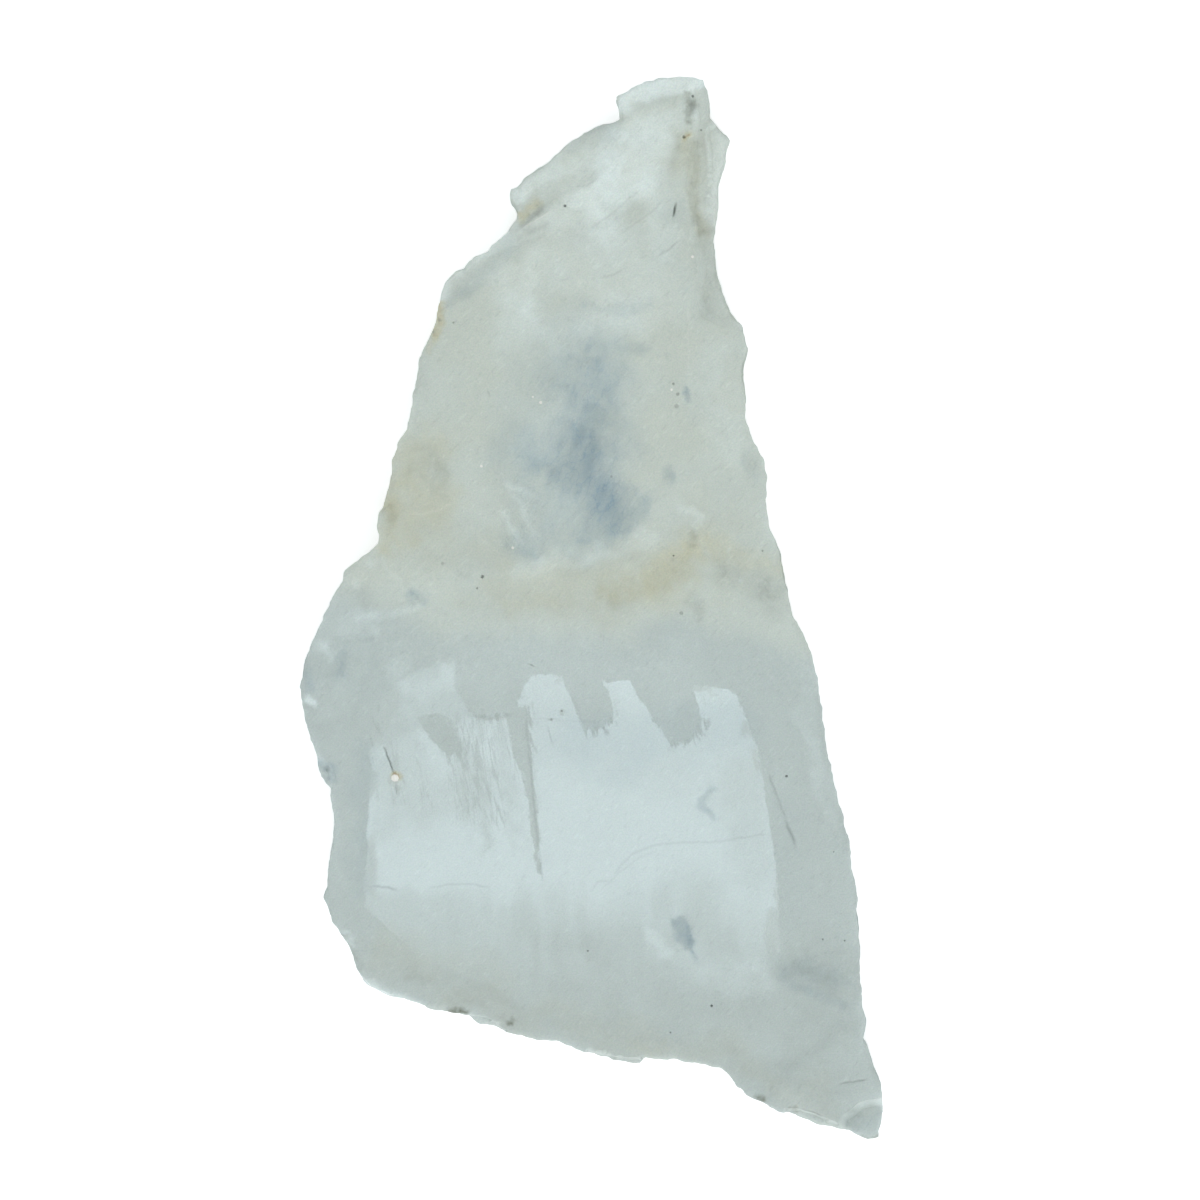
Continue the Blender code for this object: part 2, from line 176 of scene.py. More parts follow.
# Cracks, scratches and the edges of thin sheets, cut into the upper face: their points, half width
# and depth, and how much lighter or, below zero, darker than the crystal they are.
LINES = {
    "upper shoulder crack": (
        [(-11.5, 63.3), (-9.8, 64.9), (-7.8, 66.8), (-6.5, 67.9)], 0.9, 0.4, -0.32,
    ),
    "rib between the cracks": (
        [(-12.0, 62.7), (-10.3, 63.9), (-7.8, 65.4), (-6.4, 66.3)], 0.3, -0.15, 0.3,
    ),
    "lower shoulder crack": (
        [(-13.7, 61.5), (-12.0, 61.8), (-9.5, 62.8), (-7.3, 63.8), (-6.0, 64.2)], 0.85, 0.25, -0.24,
    ),
    "shoulder step": ([(-2.5, 69.9), (-0.5, 70.5), (1.2, 71.5)], 0.3, 0.0, -0.12),
    "gully slot": ([(16.1, 86.0), (16.6, 84.0), (16.3, 82.2), (15.9, 81.6)], 0.6, 0.5, -0.3),
    "slash": ([(13.9, 67.5), (13.7, 66.2), (13.5, 64.7)], 0.28, 0.35, -0.9),
    "slash below the gully": ([(15.8, 47.9), (15.8, 45.9)], 0.25, 0.2, -0.5),
    "ridge": ([(16.1, 52.0), (15.9, 46.0), (16.1, 38.0)], 0.35, -0.05, 0.12),
    "fan line": ([(4.7, 62.1), (8.6, 64.7), (12.2, 67.9)], 0.3, 0.02, -0.13),
    "second fan line": ([(-0.3, 62.9), (4.2, 66.2), (8.0, 69.6)], 0.3, 0.02, -0.12),
    "third fan line": ([(1.3, 54.6), (3.6, 55.3), (5.5, 56.6)], 0.3, 0.02, -0.16),
    "fourth fan line": ([(10.5, 58.2), (12.7, 59.4), (14.7, 61.2)], 0.3, 0.02, -0.2),
    "fifth fan line": ([(-5.4, 54.0), (-3.8, 54.9)], 0.3, 0.02, -0.22),
    "hair over the cloud": ([(-17.4, 36.3), (-16.9, 34.6)], 0.25, 0.0, -0.3),
    "swirl": ([(-31.0, 15.4), (-27.0, 15.6), (-24.7, 16.3), (-22.6, 17.6)], 0.45, 0.0, 0.14),
    "dash": ([(-10.8, -9.2), (-9.2, -9.8)], 0.25, 0.05, -0.6),
    "window crack": (
        [(-0.3, -47.1), (1.0, -45.4), (3.0, -45.1), (5.0, -42.4), (7.3, -40.4), (10.5, -39.3),
         (14.7, -38.8), (19.7, -38.8), (23.8, -38.3), (28.0, -37.6), (29.7, -37.7)],
        0.35, 0.012, -0.14,
    ),
    "second window crack": ([(1.3, -46.8), (4.2, -44.2), (8.0, -41.2), (11.0, -40.1)], 0.3, 0.01, -0.1),
    "west wave": ([(-36.9, -46.0), (-33.7, -46.3), (-31.7, -47.0)], 0.35, 0.015, -0.3),
    "middle wave": ([(-27.3, -46.6), (-24.0, -45.9), (-19.3, -45.8), (-16.5, -46.4)], 0.3, 0.01, -0.16),
    "sheet edge": ([(-18.7, -18.5), (-12.0, -18.1), (-5.3, -18.7), (1.3, -19.0)], 0.3, 0.01, -0.07),
    "needle": ([(-34.4, -22.9), (-33.6, -25.3), (-32.8, -27.4)], 0.2, 0.2, -0.36),
    "needle tail": ([(-32.6, -29.2), (-32.2, -31.0)], 0.22, 0.1, -0.4),
    "gap foot": ([(-21.6, -16.9), (-19.8, -18.0), (-16.4, -18.0), (-12.0, -17.4)], 0.55, 0.03, -0.17),
    "long streak edge": (
        [(-11.1, -18.0), (-10.1, -27.0), (-9.3, -35.4), (-8.1, -45.6)], 0.34, 0.02, -0.15,
    ),
    "tick": ([(-7.4, -19.3), (-6.5, -22.9)], 0.25, 0.0, -0.25),
    "east slash": ([(29.0, -26.8), (31.0, -32.1), (32.2, -35.6)], 0.35, 0.08, -0.2),
    "east slash foot": ([(31.8, -34.8), (33.0, -37.6), (33.9, -39.9)], 0.42, 0.12, -0.36),
    "heel crack": ([(40.5, -79.0), (42.8, -78.5), (45.8, -78.0)], 0.26, 0.1, -0.3),
    "heel seam": ([(33.8, -82.8), (36.0, -83.4), (38.3, -84.3)], 0.22, 0.15, -0.4),
    "heel rib": ([(40.5, -84.0), (43.0, -82.6), (45.0, -81.8), (48.7, -81.1)], 0.45, -0.05, 0.05),
}

# Small pits, bright chips and two painted glints: place, radius, depth and tone as for the lines.
SPECKS = [
    ((-4.5, 66.8), 0.29, 0.2, -0.75), ((-0.7, -56.8), 0.2, 0.1, -0.52),
    ((13.0, -70.3), 0.19, 0.1, -0.6), ((19.8, -65.9), 0.26, 0.2, -0.75),
    ((32.2, -27.9), 0.26, 0.2, -0.75), ((40.0, -40.4), 0.17, 0.1, -0.52),
    ((38.2, -54.9), 0.19, 0.1, -0.6), ((41.8, -55.1), 0.19, 0.1, -0.6),
    ((-18.1, 5.1), 0.36, 0.2, -0.68), ((-19.0, 3.2), 0.24, 0.1, -0.5), ((13.5, 8.6), 0.2, 0.1, -0.68),
    ((28.2, 9.4), 0.22, 0.1, -0.52), ((-5.0, -17.1), 0.26, 0.05, -0.5),
    ((-6.7, -18.5), 0.24, 0.05, -0.4), ((14.8, -0.9), 0.4, 0.1, -0.4), ((15.3, 78.3), 0.3, 0.3, -0.5),
    ((16.8, 85.2), 0.32, 0.2, -0.75), ((18.2, 79.6), 0.24, 0.1, -0.6),
    ((-25.2, 49.0), 0.24, 0.1, -0.45), ((-25.4, 47.7), 0.24, 0.1, -0.5),
    ((-26.3, 45.8), 0.26, 0.1, -0.45), ((-23.0, 47.3), 0.24, 0.1, -0.4),
    ((-43.9, -26.6), 0.7, 0.2, -0.2), ((-32.6, -28.2), 0.7, -0.1, 3.0), ((-18.3, 23.4), 0.3, 0.0, 1.5),
    ((-8.5, 34.0), 0.32, 0.0, 1.3), ((-9.8, 34.9), 0.26, 0.0, 0.8), ((-13.1, 9.9), 0.3, 0.0, 1.2),
    # painted highlights: the white specks at (16.7, 58.3) and (13.2, 36.1) are glints
    ((16.7, 58.3), 0.3, 0.0, 1.3), ((13.2, 36.1), 0.28, 0.0, 1.2), ((13.5, 37.1), 0.3, 0.1, -0.4),
    ((14.0, 33.4), 0.5, 0.1, -0.3), ((14.2, 35.4), 0.4, 0.1, -0.35), ((-24.7, 7.3), 0.4, 0.05, -0.25),
    ((3.2, 21.7), 0.3, 0.05, -0.3),
]

# The sheets seen at the edge: the level of each one's underside and how far it stops short.
SHEETS = [
    (0.0, 1.5), (1.1, 0.8), (2.0, 1.2), (3.2, 0.0), (5.4, 0.3), (6.3, 0.8), (7.5, 0.3), (8.6, 0.7),
    (10.2, 0.5),
]
SHEET_SHADOW = 0.12  # the slant of the ledge between two sheets
LEAST_RISE = 0.04  # between one ring of points and the next, where the slab is thin
RIM_STEPS = [(0.3, 0.0), (0.1, 0.2), (0.0, 0.5)]  # worn upper rim: how far down and how far in
SETBACK_LENGTH, SETBACK_SWING = 15.0, 0.75  # how a sheet's setback comes and goes
FRAY_LENGTH, FRAY_DEPTH = 3.2, 0.26
FRAY = (FRAY_LENGTH, 100, 4)  # the noise of the rim
SHEET_FRAY_LENGTH, SHEET_FRAY_DEPTH = FRAY_LENGTH / 2, FRAY_DEPTH / 2  # where a sheet stops short
STEP_FRAY_LENGTH = 2.6

# Mesh.
RIM_SPACING = 0.5
LINE_SPACING = 0.5
UPPER_SPACING, LOWER_SPACING = 0.55, 2.2
CLEAR_OF_RIM = 0.4
CLEAR_OF_LINES = 0.3
SPECK_SIDES = 7
TAPER = 5.0  # a line fades over this many half widths at its ends
LINE_END = 0.1  # how far into that fade its very end is
LINE_WANDER, LINE_WANDER_LENGTH = 0.16, 1.8
RIM_REACH, STEP_REACH = 3, 2  # over how many points each way a ring's direction is judged
SAME_POINT, MERGED_WITHIN = 0.001, 0.01
WITHIN_RIM = 1  # delaunay_2d_cdt's number for keeping the triangles inside the rim
GRID_JITTER, GRID_SEED = 0.22, 7
SHARP_ANGLE = math.radians(28)

# A mark's size is its softness within these limits. Its edge wanders by this share of its size, over
# this many times its size, and more finely down to about this length in millimetres.
LEAST_WANDER, MOST_WANDER = 0.6, 5.0
WANDER, WANDER_LENGTH, WANDER_GAIN = 0.6, 2.0, 0.65
FINEST_WANDER = 0.5

# Places that several kinds of mark share.
DARK_PATCH = [(13.1, -52.2), (14.8, -51.2), (16.0, -52.4), (16.8, -54.2), (16.8, -56.5), (15.7, -56.9),
              (14.7, -56.1), (13.8, -54.6)]
CRESCENT_MARK = [(20.0, -30.3), (18.5, -31.5), (18.3, -33.3), (19.9, -34.7)]
GULLY_BRANCH = [(15.0, 77.3), (13.6, 73.2)]
SOUTH_WEST = [(-28.0, 12.0), (-16.0, 8.0)]
FOOT_MARGIN = [(-22.0, -65.5), (4.0, -71.5), (24.0, -75.0), (42.0, -86.0)]

# The cleavage window, whose flat surface shines, and what dulls it. Each patch below, as each mark
# further down, has its points, half width, softness and strength. With no half width the points are
# an area's corners, and otherwise they are a stroke's line. Half its strength is at its edge.
WINDOW = [
    (-38.0, -49.8), (-37.6, -42.1), (-37.2, -32.1), (-36.8, -22.9), (-35.7, -17.9), (-33.8, -13.8),
    (-30.2, -11.0), (-25.3, -9.1), (-12.0, -11.4), (-6.0, -11.1), (2.3, -12.4), (7.0, -12.1),
    (16.7, -13.1), (22.5, -13.3), (24.3, -14.9), (26.0, -19.1), (27.5, -23.4), (28.5, -28.8),
    (29.3, -34.6), (30.2, -39.6), (30.9, -45.4), (31.3, -55.4), (31.0, -64.0), (18.0, -67.0),
    (-5.3, -65.0), (-27.0, -60.0),
]
WINDOW_FRAY, WINDOW_WANDERS = 0.22, ((2.0, 700), (2.0, 710))
WINDOW_REACH = 3.0  # the greatest depth that is kept, inside it and out
NOT_WINDOW = -2.0  # the depth of every point below the upper face
BITES = {  # broken out of the window, and as dull as what is round it
    "west finger": [
        (-29.2, -18.2), (-25.3, -17.7), (-23.3, -19.1), (-21.8, -22.1), (-21.5, -24.3), (-23.7, -25.1),
        (-25.5, -23.4), (-27.5, -21.1)],
    "gap": [
        (-22.4, -5.1), (-23.0, -13.4), (-21.7, -15.8), (-20.3, -18.1), (-15.3, -18.4), (-12.4, -17.6),
        (-11.8, -13.8), (-10.3, -11.5), (-10.0, -5.1)],
    "first finger": [
        (-5.6, -8.4), (-4.9, -12.0), (-3.4, -16.0), (-2.0, -18.6), (-0.9, -20.9), (0.6, -20.4),
        (2.3, -20.2), (4.1, -18.2), (3.7, -16.0), (2.8, -14.2), (1.7, -12.0), (0.5, -8.4)],
    "second finger": [
        (5.6, -8.4), (6.5, -12.2), (7.4, -14.6), (9.1, -17.3), (10.9, -19.5), (12.2, -21.7),
        (13.3, -23.0), (14.9, -23.0), (16.6, -22.1), (17.9, -20.8), (18.6, -18.6), (17.7, -15.7),
        (17.0, -13.7), (15.8, -8.4)],
    "long streak": [
        (-14.8, -16.4), (-14.0, -20.0), (-13.2, -25.0), (-11.5, -27.6), (-10.5, -33.8), (-9.9, -39.4),
        (-8.4, -46.8), (-8.5, -43.0), (-9.1, -33.8), (-10.0, -25.4), (-10.9, -16.4)],
}
DULL_PATCHES = {
    "beside the long streak": ([(-15.0, -18.6), (-13.3, -28.0), (-10.8, -40.0)], 0.5, 2.0, 0.25),
    "second streak": ([(-19.1, -18.0), (-18.9, -25.4), (-18.2, -32.0), (-17.2, -40.0)], 0.8, 1.4, 0.55),
    "third streak": ([(-15.5, -18.6), (-14.2, -30.4), (-13.0, -39.5)], 0.6, 1.4, 0.35),
    "fourth streak": ([(-22.5, -19.5), (-21.3, -28.0), (-20.3, -34.0)], 0.9, 2.0, 0.4),
    "dark patch": (DARK_PATCH, 0.0, 0.8, 0.8),
    "crescent": (CRESCENT_MARK, 0.6, 1.0, 0.45),
    "north-west haze": (
        [(-38.0, -5.0), (-20.0, -5.0), (-20.0, -17.5), (-27.0, -21.0), (-38.0, -23.0)], 0.0, 2.4, 0.62),
    "north haze": ([(-12.0, -15.0), (5.0, -24.0), (20.0, -20.0), (26.0, -28.0)], 7.0, 9.0, 0.2),
    "west haze": ([(-34.0, -23.0), (-30.0, -31.0), (-20.0, -30.0)], 5.0, 6.0, 0.45),
    "east haze": ([(25.0, -28.0), (27.5, -44.0)], 3.5, 6.0, 0.3),
    "south-east haze": ([(17.0, -50.0), (27.0, -58.0)], 6.0, 8.0, 0.32),
    "foot haze": ([(-10.0, -53.0), (10.0, -56.0)], 3.0, 7.0, 0.2),
}
# The shine fades towards the foot in two steps: for points across the slab, where it is half gone
# and over what length it goes.
FADE_ACROSS = (-37.0, -25.0, -12.0, 0.0, 10.0, 20.0, 31.0)
FIRST_FADE = (-47.4, -47.6, -48.8, -49.2, -49.4, -51.0, -60.0), (3.0, 6.0, 9.0, 12.0, 14.0, 15.0, 11.0)
LAST_FADE = (-55.0, -56.0, -57.0, -58.0, -60.5, -64.0, -66.0), (9.0, 10.0, 11.0, 11.0, 9.0, 6.0, 4.0)
FIRST_FADE_SHARE = 0.6
WISPS, WISP_STRETCH, WISP_REACH = (2.2, 720, 3, 0.6), 5.0, 0.25
# The window's edge is toothed between these lines, where a move to this side leads this far into it.
TOOTH_LINES, TOOTH_SIDE, TOOTH_STEP = (-15.0, -26.0), (0.35, -0.35), 0.5
# The part of the window that is combed with fine hairs.
COMBED = [(-36.0, -18.0), (-22.0, -18.0), (-10.5, -17.0), (-8.5, -42.0), (-14.0, -37.5),
          (-36.0, -32.0)]
COMBED_SOFTNESS = 2.5

# The crystal's body turns from a warm grey-green above this line to a cooler, darker one below.
BODY_LINE = [(-60.0, 1.0), (-38.0, 1.5), (-25.0, -4.0), (-8.0, -5.0), (6.0, -5.0), (14.0, -2.0),
             (22.0, -3.5), (34.0, -8.0), (60.0, -12.0)]
BODY_TURN = 5.0
BODY_WANDER, BODY_EDGE = 1.2, (9.0, 730)

DEEP_AND_SHADED = {  # clear crystal that the eye sees down into, and painted bluish shade on bevels
    "clear halo": ([(-2.0, 40.0), (-6.0, 30.0), (-7.0, 22.0), (-2.0, 14.0)], 8.0, 8.0, 0.14),
    "clear zone": ([(0.0, 36.0), (-0.5, 31.0), (-2.0, 24.0), (2.0, 17.0), (3.0, 13.5)], 4.4, 6.5, 0.2),
    "clear zone west": ([(-12.5, 27.0), (-9.5, 23.0), (-4.0, 24.0)], 3.2, 5.5, 0.2),
    "upper cloud": ([(-4.0, 37.6), (0.0, 39.0), (3.4, 38.0)], 3.2, 3.2, 0.17),
    "knot": ([(-3.9, 36.6), (-3.4, 35.8)], 0.8, 1.6, 0.14),
    "core": ([(-0.4, 32.6), (-0.4, 29.5), (-0.4, 25.0), (0.9, 20.5)], 2.2, 2.8, 0.34),
    "core foot": ([(0.2, 24.5), (1.9, 21.0), (2.6, 16.5)], 2.0, 3.0, 0.25),
    "net": (
        [(0.0, 20.0), (5.8, 20.9), (10.4, 18.6), (9.2, 15.4), (6.3, 12.1), (1.3, 11.3), (-2.5, 10.4)],
        0.0, 0.9, 0.17),
    "pool": (
        [(-15.3, 10.4), (-10.3, 8.4), (-2.0, 10.2), (6.3, 12.1), (9.4, 15.4), (10.5, 18.8), (0.0, 24.0),
         (-14.0, 18.0)],
        0.0, 1.3, 0.09),
    "west arm": ([(-9.5, 23.5), (-6.0, 22.6), (-3.0, 23.4)], 1.2, 2.2, 0.2),
    "south-west arm": ([(-13.0, 11.5), (-10.8, 8.7)], 1.8, 2.8, 0.2),
    "long streak": ([(-1.8, 50.9), (1.0, 50.2), (5.5, 49.6), (9.5, 50.4)], 0.8, 1.6, 0.16),
    "short streaks": ([(-0.5, 43.6), (3.5, 44.0), (8.5, 43.0)], 1.2, 2.4, 0.22),
    "east pit": ([(12.7, 23.0), (12.8, 21.4)], 0.8, 0.9, 0.24),
    "pit tail": ([(15.6, 36.6), (15.9, 34.4)], 0.4, 0.6, 0.35),
    "rim patch": ([(25.6, 25.0), (26.6, 22.6)], 1.1, 1.8, 0.16),
    "clear zone east": ([(3.8, 34.0), (6.0, 29.0), (6.0, 24.0)], 2.2, 5.0, 0.13),
    "blue strip": ([(13.5, 66.5), (13.0, 60.0), (14.8, 53.0)], 1.4, 2.2, 0.06),
    # painted shade: the shoulder band, cap bevel, flank and flank tail are bevels darkened in colour
    "shoulder band": (
        [(-5.2, 76.2), (-2.0, 79.7), (1.3, 80.8), (4.6, 81.5), (4.2, 77.9), (1.3, 76.9), (-2.8, 75.7)],
        0.0, 0.9, 0.1),
    "second smudge streak": ([(33.5, -63.0), (38.0, -64.6), (41.0, -66.0)], 0.5, 1.2, 0.08),
    "cap bevel": ([(5.0, 82.3), (6.9, 83.3), (8.9, 84.3), (12.2, 84.9), (15.5, 85.9)], 0.65, 0.9, 0.05),
    "flank": ([(-12.9, 61.0), (-15.0, 59.6), (-18.7, 55.4), (-21.4, 52.6)], 1.4, 2.0, 0.11),
    "flank tail": ([(-21.0, 53.0), (-24.3, 50.6)], 0.7, 1.5, 0.16),
    "west flecks": ([(-30.0, 2.0), (-28.4, 1.2)], 0.9, 1.4, 0.4),
    "bulge": ([(-44.0, -9.5), (-39.0, -8.6), (-37.0, -12.0)], 3.2, 4.0, 0.03),
    "bulge vein": ([(-41.9, -7.4), (-41.5, -11.4)], 0.6, 1.0, 0.18),
    "bulge edge": ([(-47.2, -11.0), (-46.8, -13.4)], 0.8, 1.2, 0.25),
    "notch": ([(-45.0, -25.6), (-43.6, -26.6), (-43.2, -28.6)], 0.9, 1.2, 0.35),
    "under the band": ([(-38.0, -24.0), (-38.2, -38.0), (-38.4, -47.0)], 1.4, 2.4, 0.1),
    "dark patch": (DARK_PATCH, 0.0, 0.8, 0.28),
    "dark patch heart": ([(16.0, -53.6), (16.2, -55.8)], 0.45, 0.9, 0.42),
    "dark patch tail": ([(16.4, -56.8), (17.7, -58.8)], 0.35, 0.7, 0.35),
    "crescent": (CRESCENT_MARK, 0.55, 1.0, 0.25),
    "south-east smudge": ([(32.8, -59.8), (36.2, -60.2), (39.4, -62.4)], 2.2, 3.0, 0.13),
    "smudge streaks": ([(31.4, -61.6), (36.0, -64.0), (42.0, -66.4)], 0.6, 1.4, 0.1),
    "east strip": ([(31.5, -34.0), (33.5, -42.0), (33.0, -52.0)], 2.2, 4.0, 0.03),
    "north window": ([(-2.0, -23.0), (22.0, -21.0)], 5.0, 7.0, 0.1),
    "heel facet": ([(43.0, -86.0), (47.0, -85.6)], 1.6, 1.8, 0.16),
}
FROST = {  # milky or bruised crystal, lighter than the rest
    "below the shoulder": (
        [(4.7, 76.2), (1.3, 73.8), (-0.3, 70.4), (-4.5, 68.8), (-5.3, 66.6), (1.3, 65.0), (5.5, 67.9)],
        0.0, 2.0, 0.27),
    "shoulder": ([(-9.5, 70.0), (-3.0, 74.0), (1.5, 75.0)], 2.2, 3.0, 0.3),
    "upper body": ([(-6.0, 60.0), (8.0, 54.0), (2.0, 62.0)], 6.0, 9.0, 0.15),
    "band": ([(-20.0, -9.0), (0.0, -11.0), (14.0, -13.0)], 5.0, 6.0, 0.07),
    "north-west glow": ([(-31.5, -12.6), (-25.5, -12.8)], 1.8, 4.5, 0.17),
    "cap lip": (
        [(4.0, 83.6), (4.6, 82.2), (8.9, 84.3), (12.2, 85.1), (17.0, 86.0), (19.6, 87.0), (19.6, 90.0),
         (5.0, 88.0)],
        0.0, 0.8, 0.52),
    "cap face": (
        [(5.0, 81.3), (14.7, 83.0), (14.0, 77.3), (11.5, 71.4), (6.3, 67.9), (1.3, 67.9), (-0.8, 69.0),
         (3.6, 74.6)], 0.0, 4.0, 0.38),
    "below the cap": ([(-1.0, 67.0), (3.0, 64.0)], 3.0, 5.0, 0.25),
    "nub": ([(-12.6, 69.6), (-11.8, 67.8)], 1.0, 1.4, 0.35),
    "flank rim": ([(-14.7, 62.6), (-19.0, 58.6), (-23.5, 54.6), (-25.4, 51.4)], 0.9, 1.2, 0.3),
    "flank fan": ([(-10.6, 58.6), (-10.3, 54.0)], 1.3, 2.2, 0.18),
    "west fan": ([(-15.3, 56.3), (-12.0, 51.3)], 2.2, 3.6, 0.2),
    "east ledge": ([(21.5, 79.0), (21.0, 73.0), (20.3, 66.0)], 1.5, 2.0, 0.2),
    "strip": ([(16.9, 83.0), (17.6, 81.6)], 0.5, 0.8, 0.3),
    "east": ([(21.0, 43.0), (22.0, 33.0), (24.0, 27.0)], 2.4, 5.0, 0.12),
    "crescent rim": ([(-12.0, 5.6), (-6.0, 7.2), (1.3, 8.7), (6.3, 9.8), (9.7, 12.2)], 1.3, 2.2, 0.22),
    "clear halo": ([(-4.0, 38.0), (-9.0, 30.0), (-9.0, 20.0), (-4.0, 13.0)], 5.0, 8.0, 0.1),
    "upper haze": ([(-14.0, 47.0), (-4.0, 48.0), (8.0, 47.0)], 3.0, 6.0, 0.2),
    "beside the gully": ([(9.5, 68.0), (12.8, 61.5)], 2.0, 3.5, 0.22),
    "crescent flecks": ([(15.8, 16.4), (17.4, 14.8)], 0.9, 1.6, 0.25),
    "pale spot": ([(22.9, 9.7)], 0.4, 0.5, 0.5),
    "second pale spot": ([(24.6, 4.4)], 0.3, 0.5, 0.4),
    "streaks": ([(-14.7, 16.0), (-12.2, 11.0)], 0.4, 0.8, 0.3),
    "second streaks": ([(-12.4, 18.3), (-9.6, 12.0)], 0.4, 0.8, 0.25),
    "third streaks": ([(-14.0, 20.5), (-9.6, 18.7)], 0.4, 0.9, 0.3),
    "under the dark patch": ([(18.5, -61.0), (24.0, -62.5), (28.0, -62.0)], 1.8, 3.5, 0.12),
    "pale bruise": ([(-39.5, 3.8)], 1.0, 1.2, 0.25),
    "second pale bruise": ([(-37.0, 7.1)], 0.9, 1.2, 0.2),
    "white patch": (
        [(-42.6, -5.0), (-42.0, -1.6), (-39.0, 0.3), (-36.0, -1.0), (-35.4, -5.0)], 0.0, 0.8, 0.12),
    "wedge": ([(-38.7, -1.9), (-33.0, -0.8), (-28.9, 0.3)], 0.7, 0.8, 0.2),
    "edge bruise": ([(-44.6, -6.3), (-43.4, -8.2)], 0.8, 1.0, 0.25),
    "edge chip": ([(-47.6, -15.4), (-46.6, -15.9)], 0.5, 0.7, 0.6),
    "east flecks": ([(34.7, -17.9), (36.7, -23.9), (38.3, -29.6)], 0.8, 1.8, 0.12),
    "east flecks foot": ([(36.5, -27.7), (40.3, -36.0)], 0.6, 1.4, 0.1),
    "west rim": ([(-41.2, -53.8), (-39.6, -56.6)], 0.35, 0.5, 0.6),
    "foot pale": ([(-4.0, -61.0), (6.0, -62.0)], 2.5, 5.0, 0.1),
    "foot lip": ([(-37.3, -62.6), (-33.7, -64.6), (-29.6, -66.1)], 0.9, 0.9, 0.35),
    "foot lobe": ([(-19.6, -68.2), (-16.2, -69.6)], 0.8, 1.0, 0.22),
    "toe lobe": ([(0.0, -74.1), (7.6, -75.4)], 0.7, 0.9, 0.03),
    "dark patch edge": ([(9.2, -54.0), (12.4, -57.6)], 0.8, 1.2, 0.2),
    "heel band": ([(40.5, -84.2), (43.0, -82.7), (45.0, -81.8), (48.7, -81.2)], 0.8, 1.0, 0.1),
    "heel strip": ([(34.9, -84.2), (38.5, -85.6), (40.0, -86.3)], 0.6, 0.8, 0.2),
    "heel rim": ([(48.5, -82.0), (48.4, -87.5)], 0.5, 0.7, 0.15),
}
STAIN = {  # iron, from a straw tint where it is weak to rust where it is strong
    "gully floor": ([(17.5, 77.0), (17.8, 70.0), (17.7, 64.0)], 1.3, 1.2, 0.04),
    "south-west": (SOUTH_WEST, 3.0, 5.0, 0.07),
    "foot corner": ([(-36.0, -57.0), (-26.0, -61.0)], 2.4, 4.0, 0.08),
    "foot margin": (FOOT_MARGIN, 3.0, 5.0, 0.08),
    "west foot haze": ([(-32.5, 20.0), (-31.5, 11.0)], 2.5, 4.0, 0.23),
    "crescent edge": ([(-14.0, 0.5), (4.0, -1.0), (14.0, 1.0)], 2.0, 3.0, 0.09),
    "crescent": ([(-14.0, 4.0), (-3.0, 4.0), (6.0, 5.0), (16.0, 9.0)], 3.5, 5.0, 0.14),
    "mustard": ([(5.0, 3.8), (10.6, 4.4), (16.0, 8.6)], 2.6, 4.6, 0.28),
    "mustard heart": ([(9.6, 3.9), (12.0, 4.4)], 1.3, 3.0, 0.2),
    "east peak": ([(16.3, 9.4), (17.8, 12.2), (20.3, 10.4)], 1.5, 2.6, 0.2),
    "east tail": ([(20.0, 10.0), (30.5, 7.0)], 1.5, 3.0, 0.2),
    "west edge": ([(-25.2, 50.2), (-25.3, 47.4), (-26.2, 45.2)], 0.8, 1.0, 0.6),
    "west edge foot": ([(-26.3, 44.6), (-27.0, 42.4)], 0.5, 1.0, 0.3),
    "west foot": ([(-34.0, 17.4), (-34.0, 13.0), (-34.2, 10.0)], 1.6, 2.6, 0.29),
    "west foot spot": ([(-34.3, 17.3)], 0.8, 1.2, 0.25),
    "west patch": ([(-31.0, 24.6), (-27.0, 21.0), (-26.0, 18.0)], 4.0, 5.0, 0.23),
    "shoulder": ([(-11.7, 64.9), (-10.2, 66.2), (-9.3, 67.4)], 0.9, 1.2, 0.5),
    "gully spot": ([(15.4, 78.4), (16.0, 79.0)], 0.45, 0.8, 0.75),
    "gully": ([(16.2, 78.5), (16.7, 74.0), (16.4, 70.0), (17.5, 65.4), (18.8, 62.0)], 0.9, 1.3, 0.18),
    "gully branch": (GULLY_BRANCH, 1.1, 2.0, 0.14),
    "bright chip rim": ([(-32.6, -28.2)], 0.8, 0.35, 0.8),
    "foot": ([(6.3, -73.4), (11.3, -73.8)], 1.2, 2.2, 0.1),
    "foot band": ([(-36.0, -56.0), (-26.0, -57.4), (-14.0, -62.0)], 2.0, 3.5, 0.05),
}
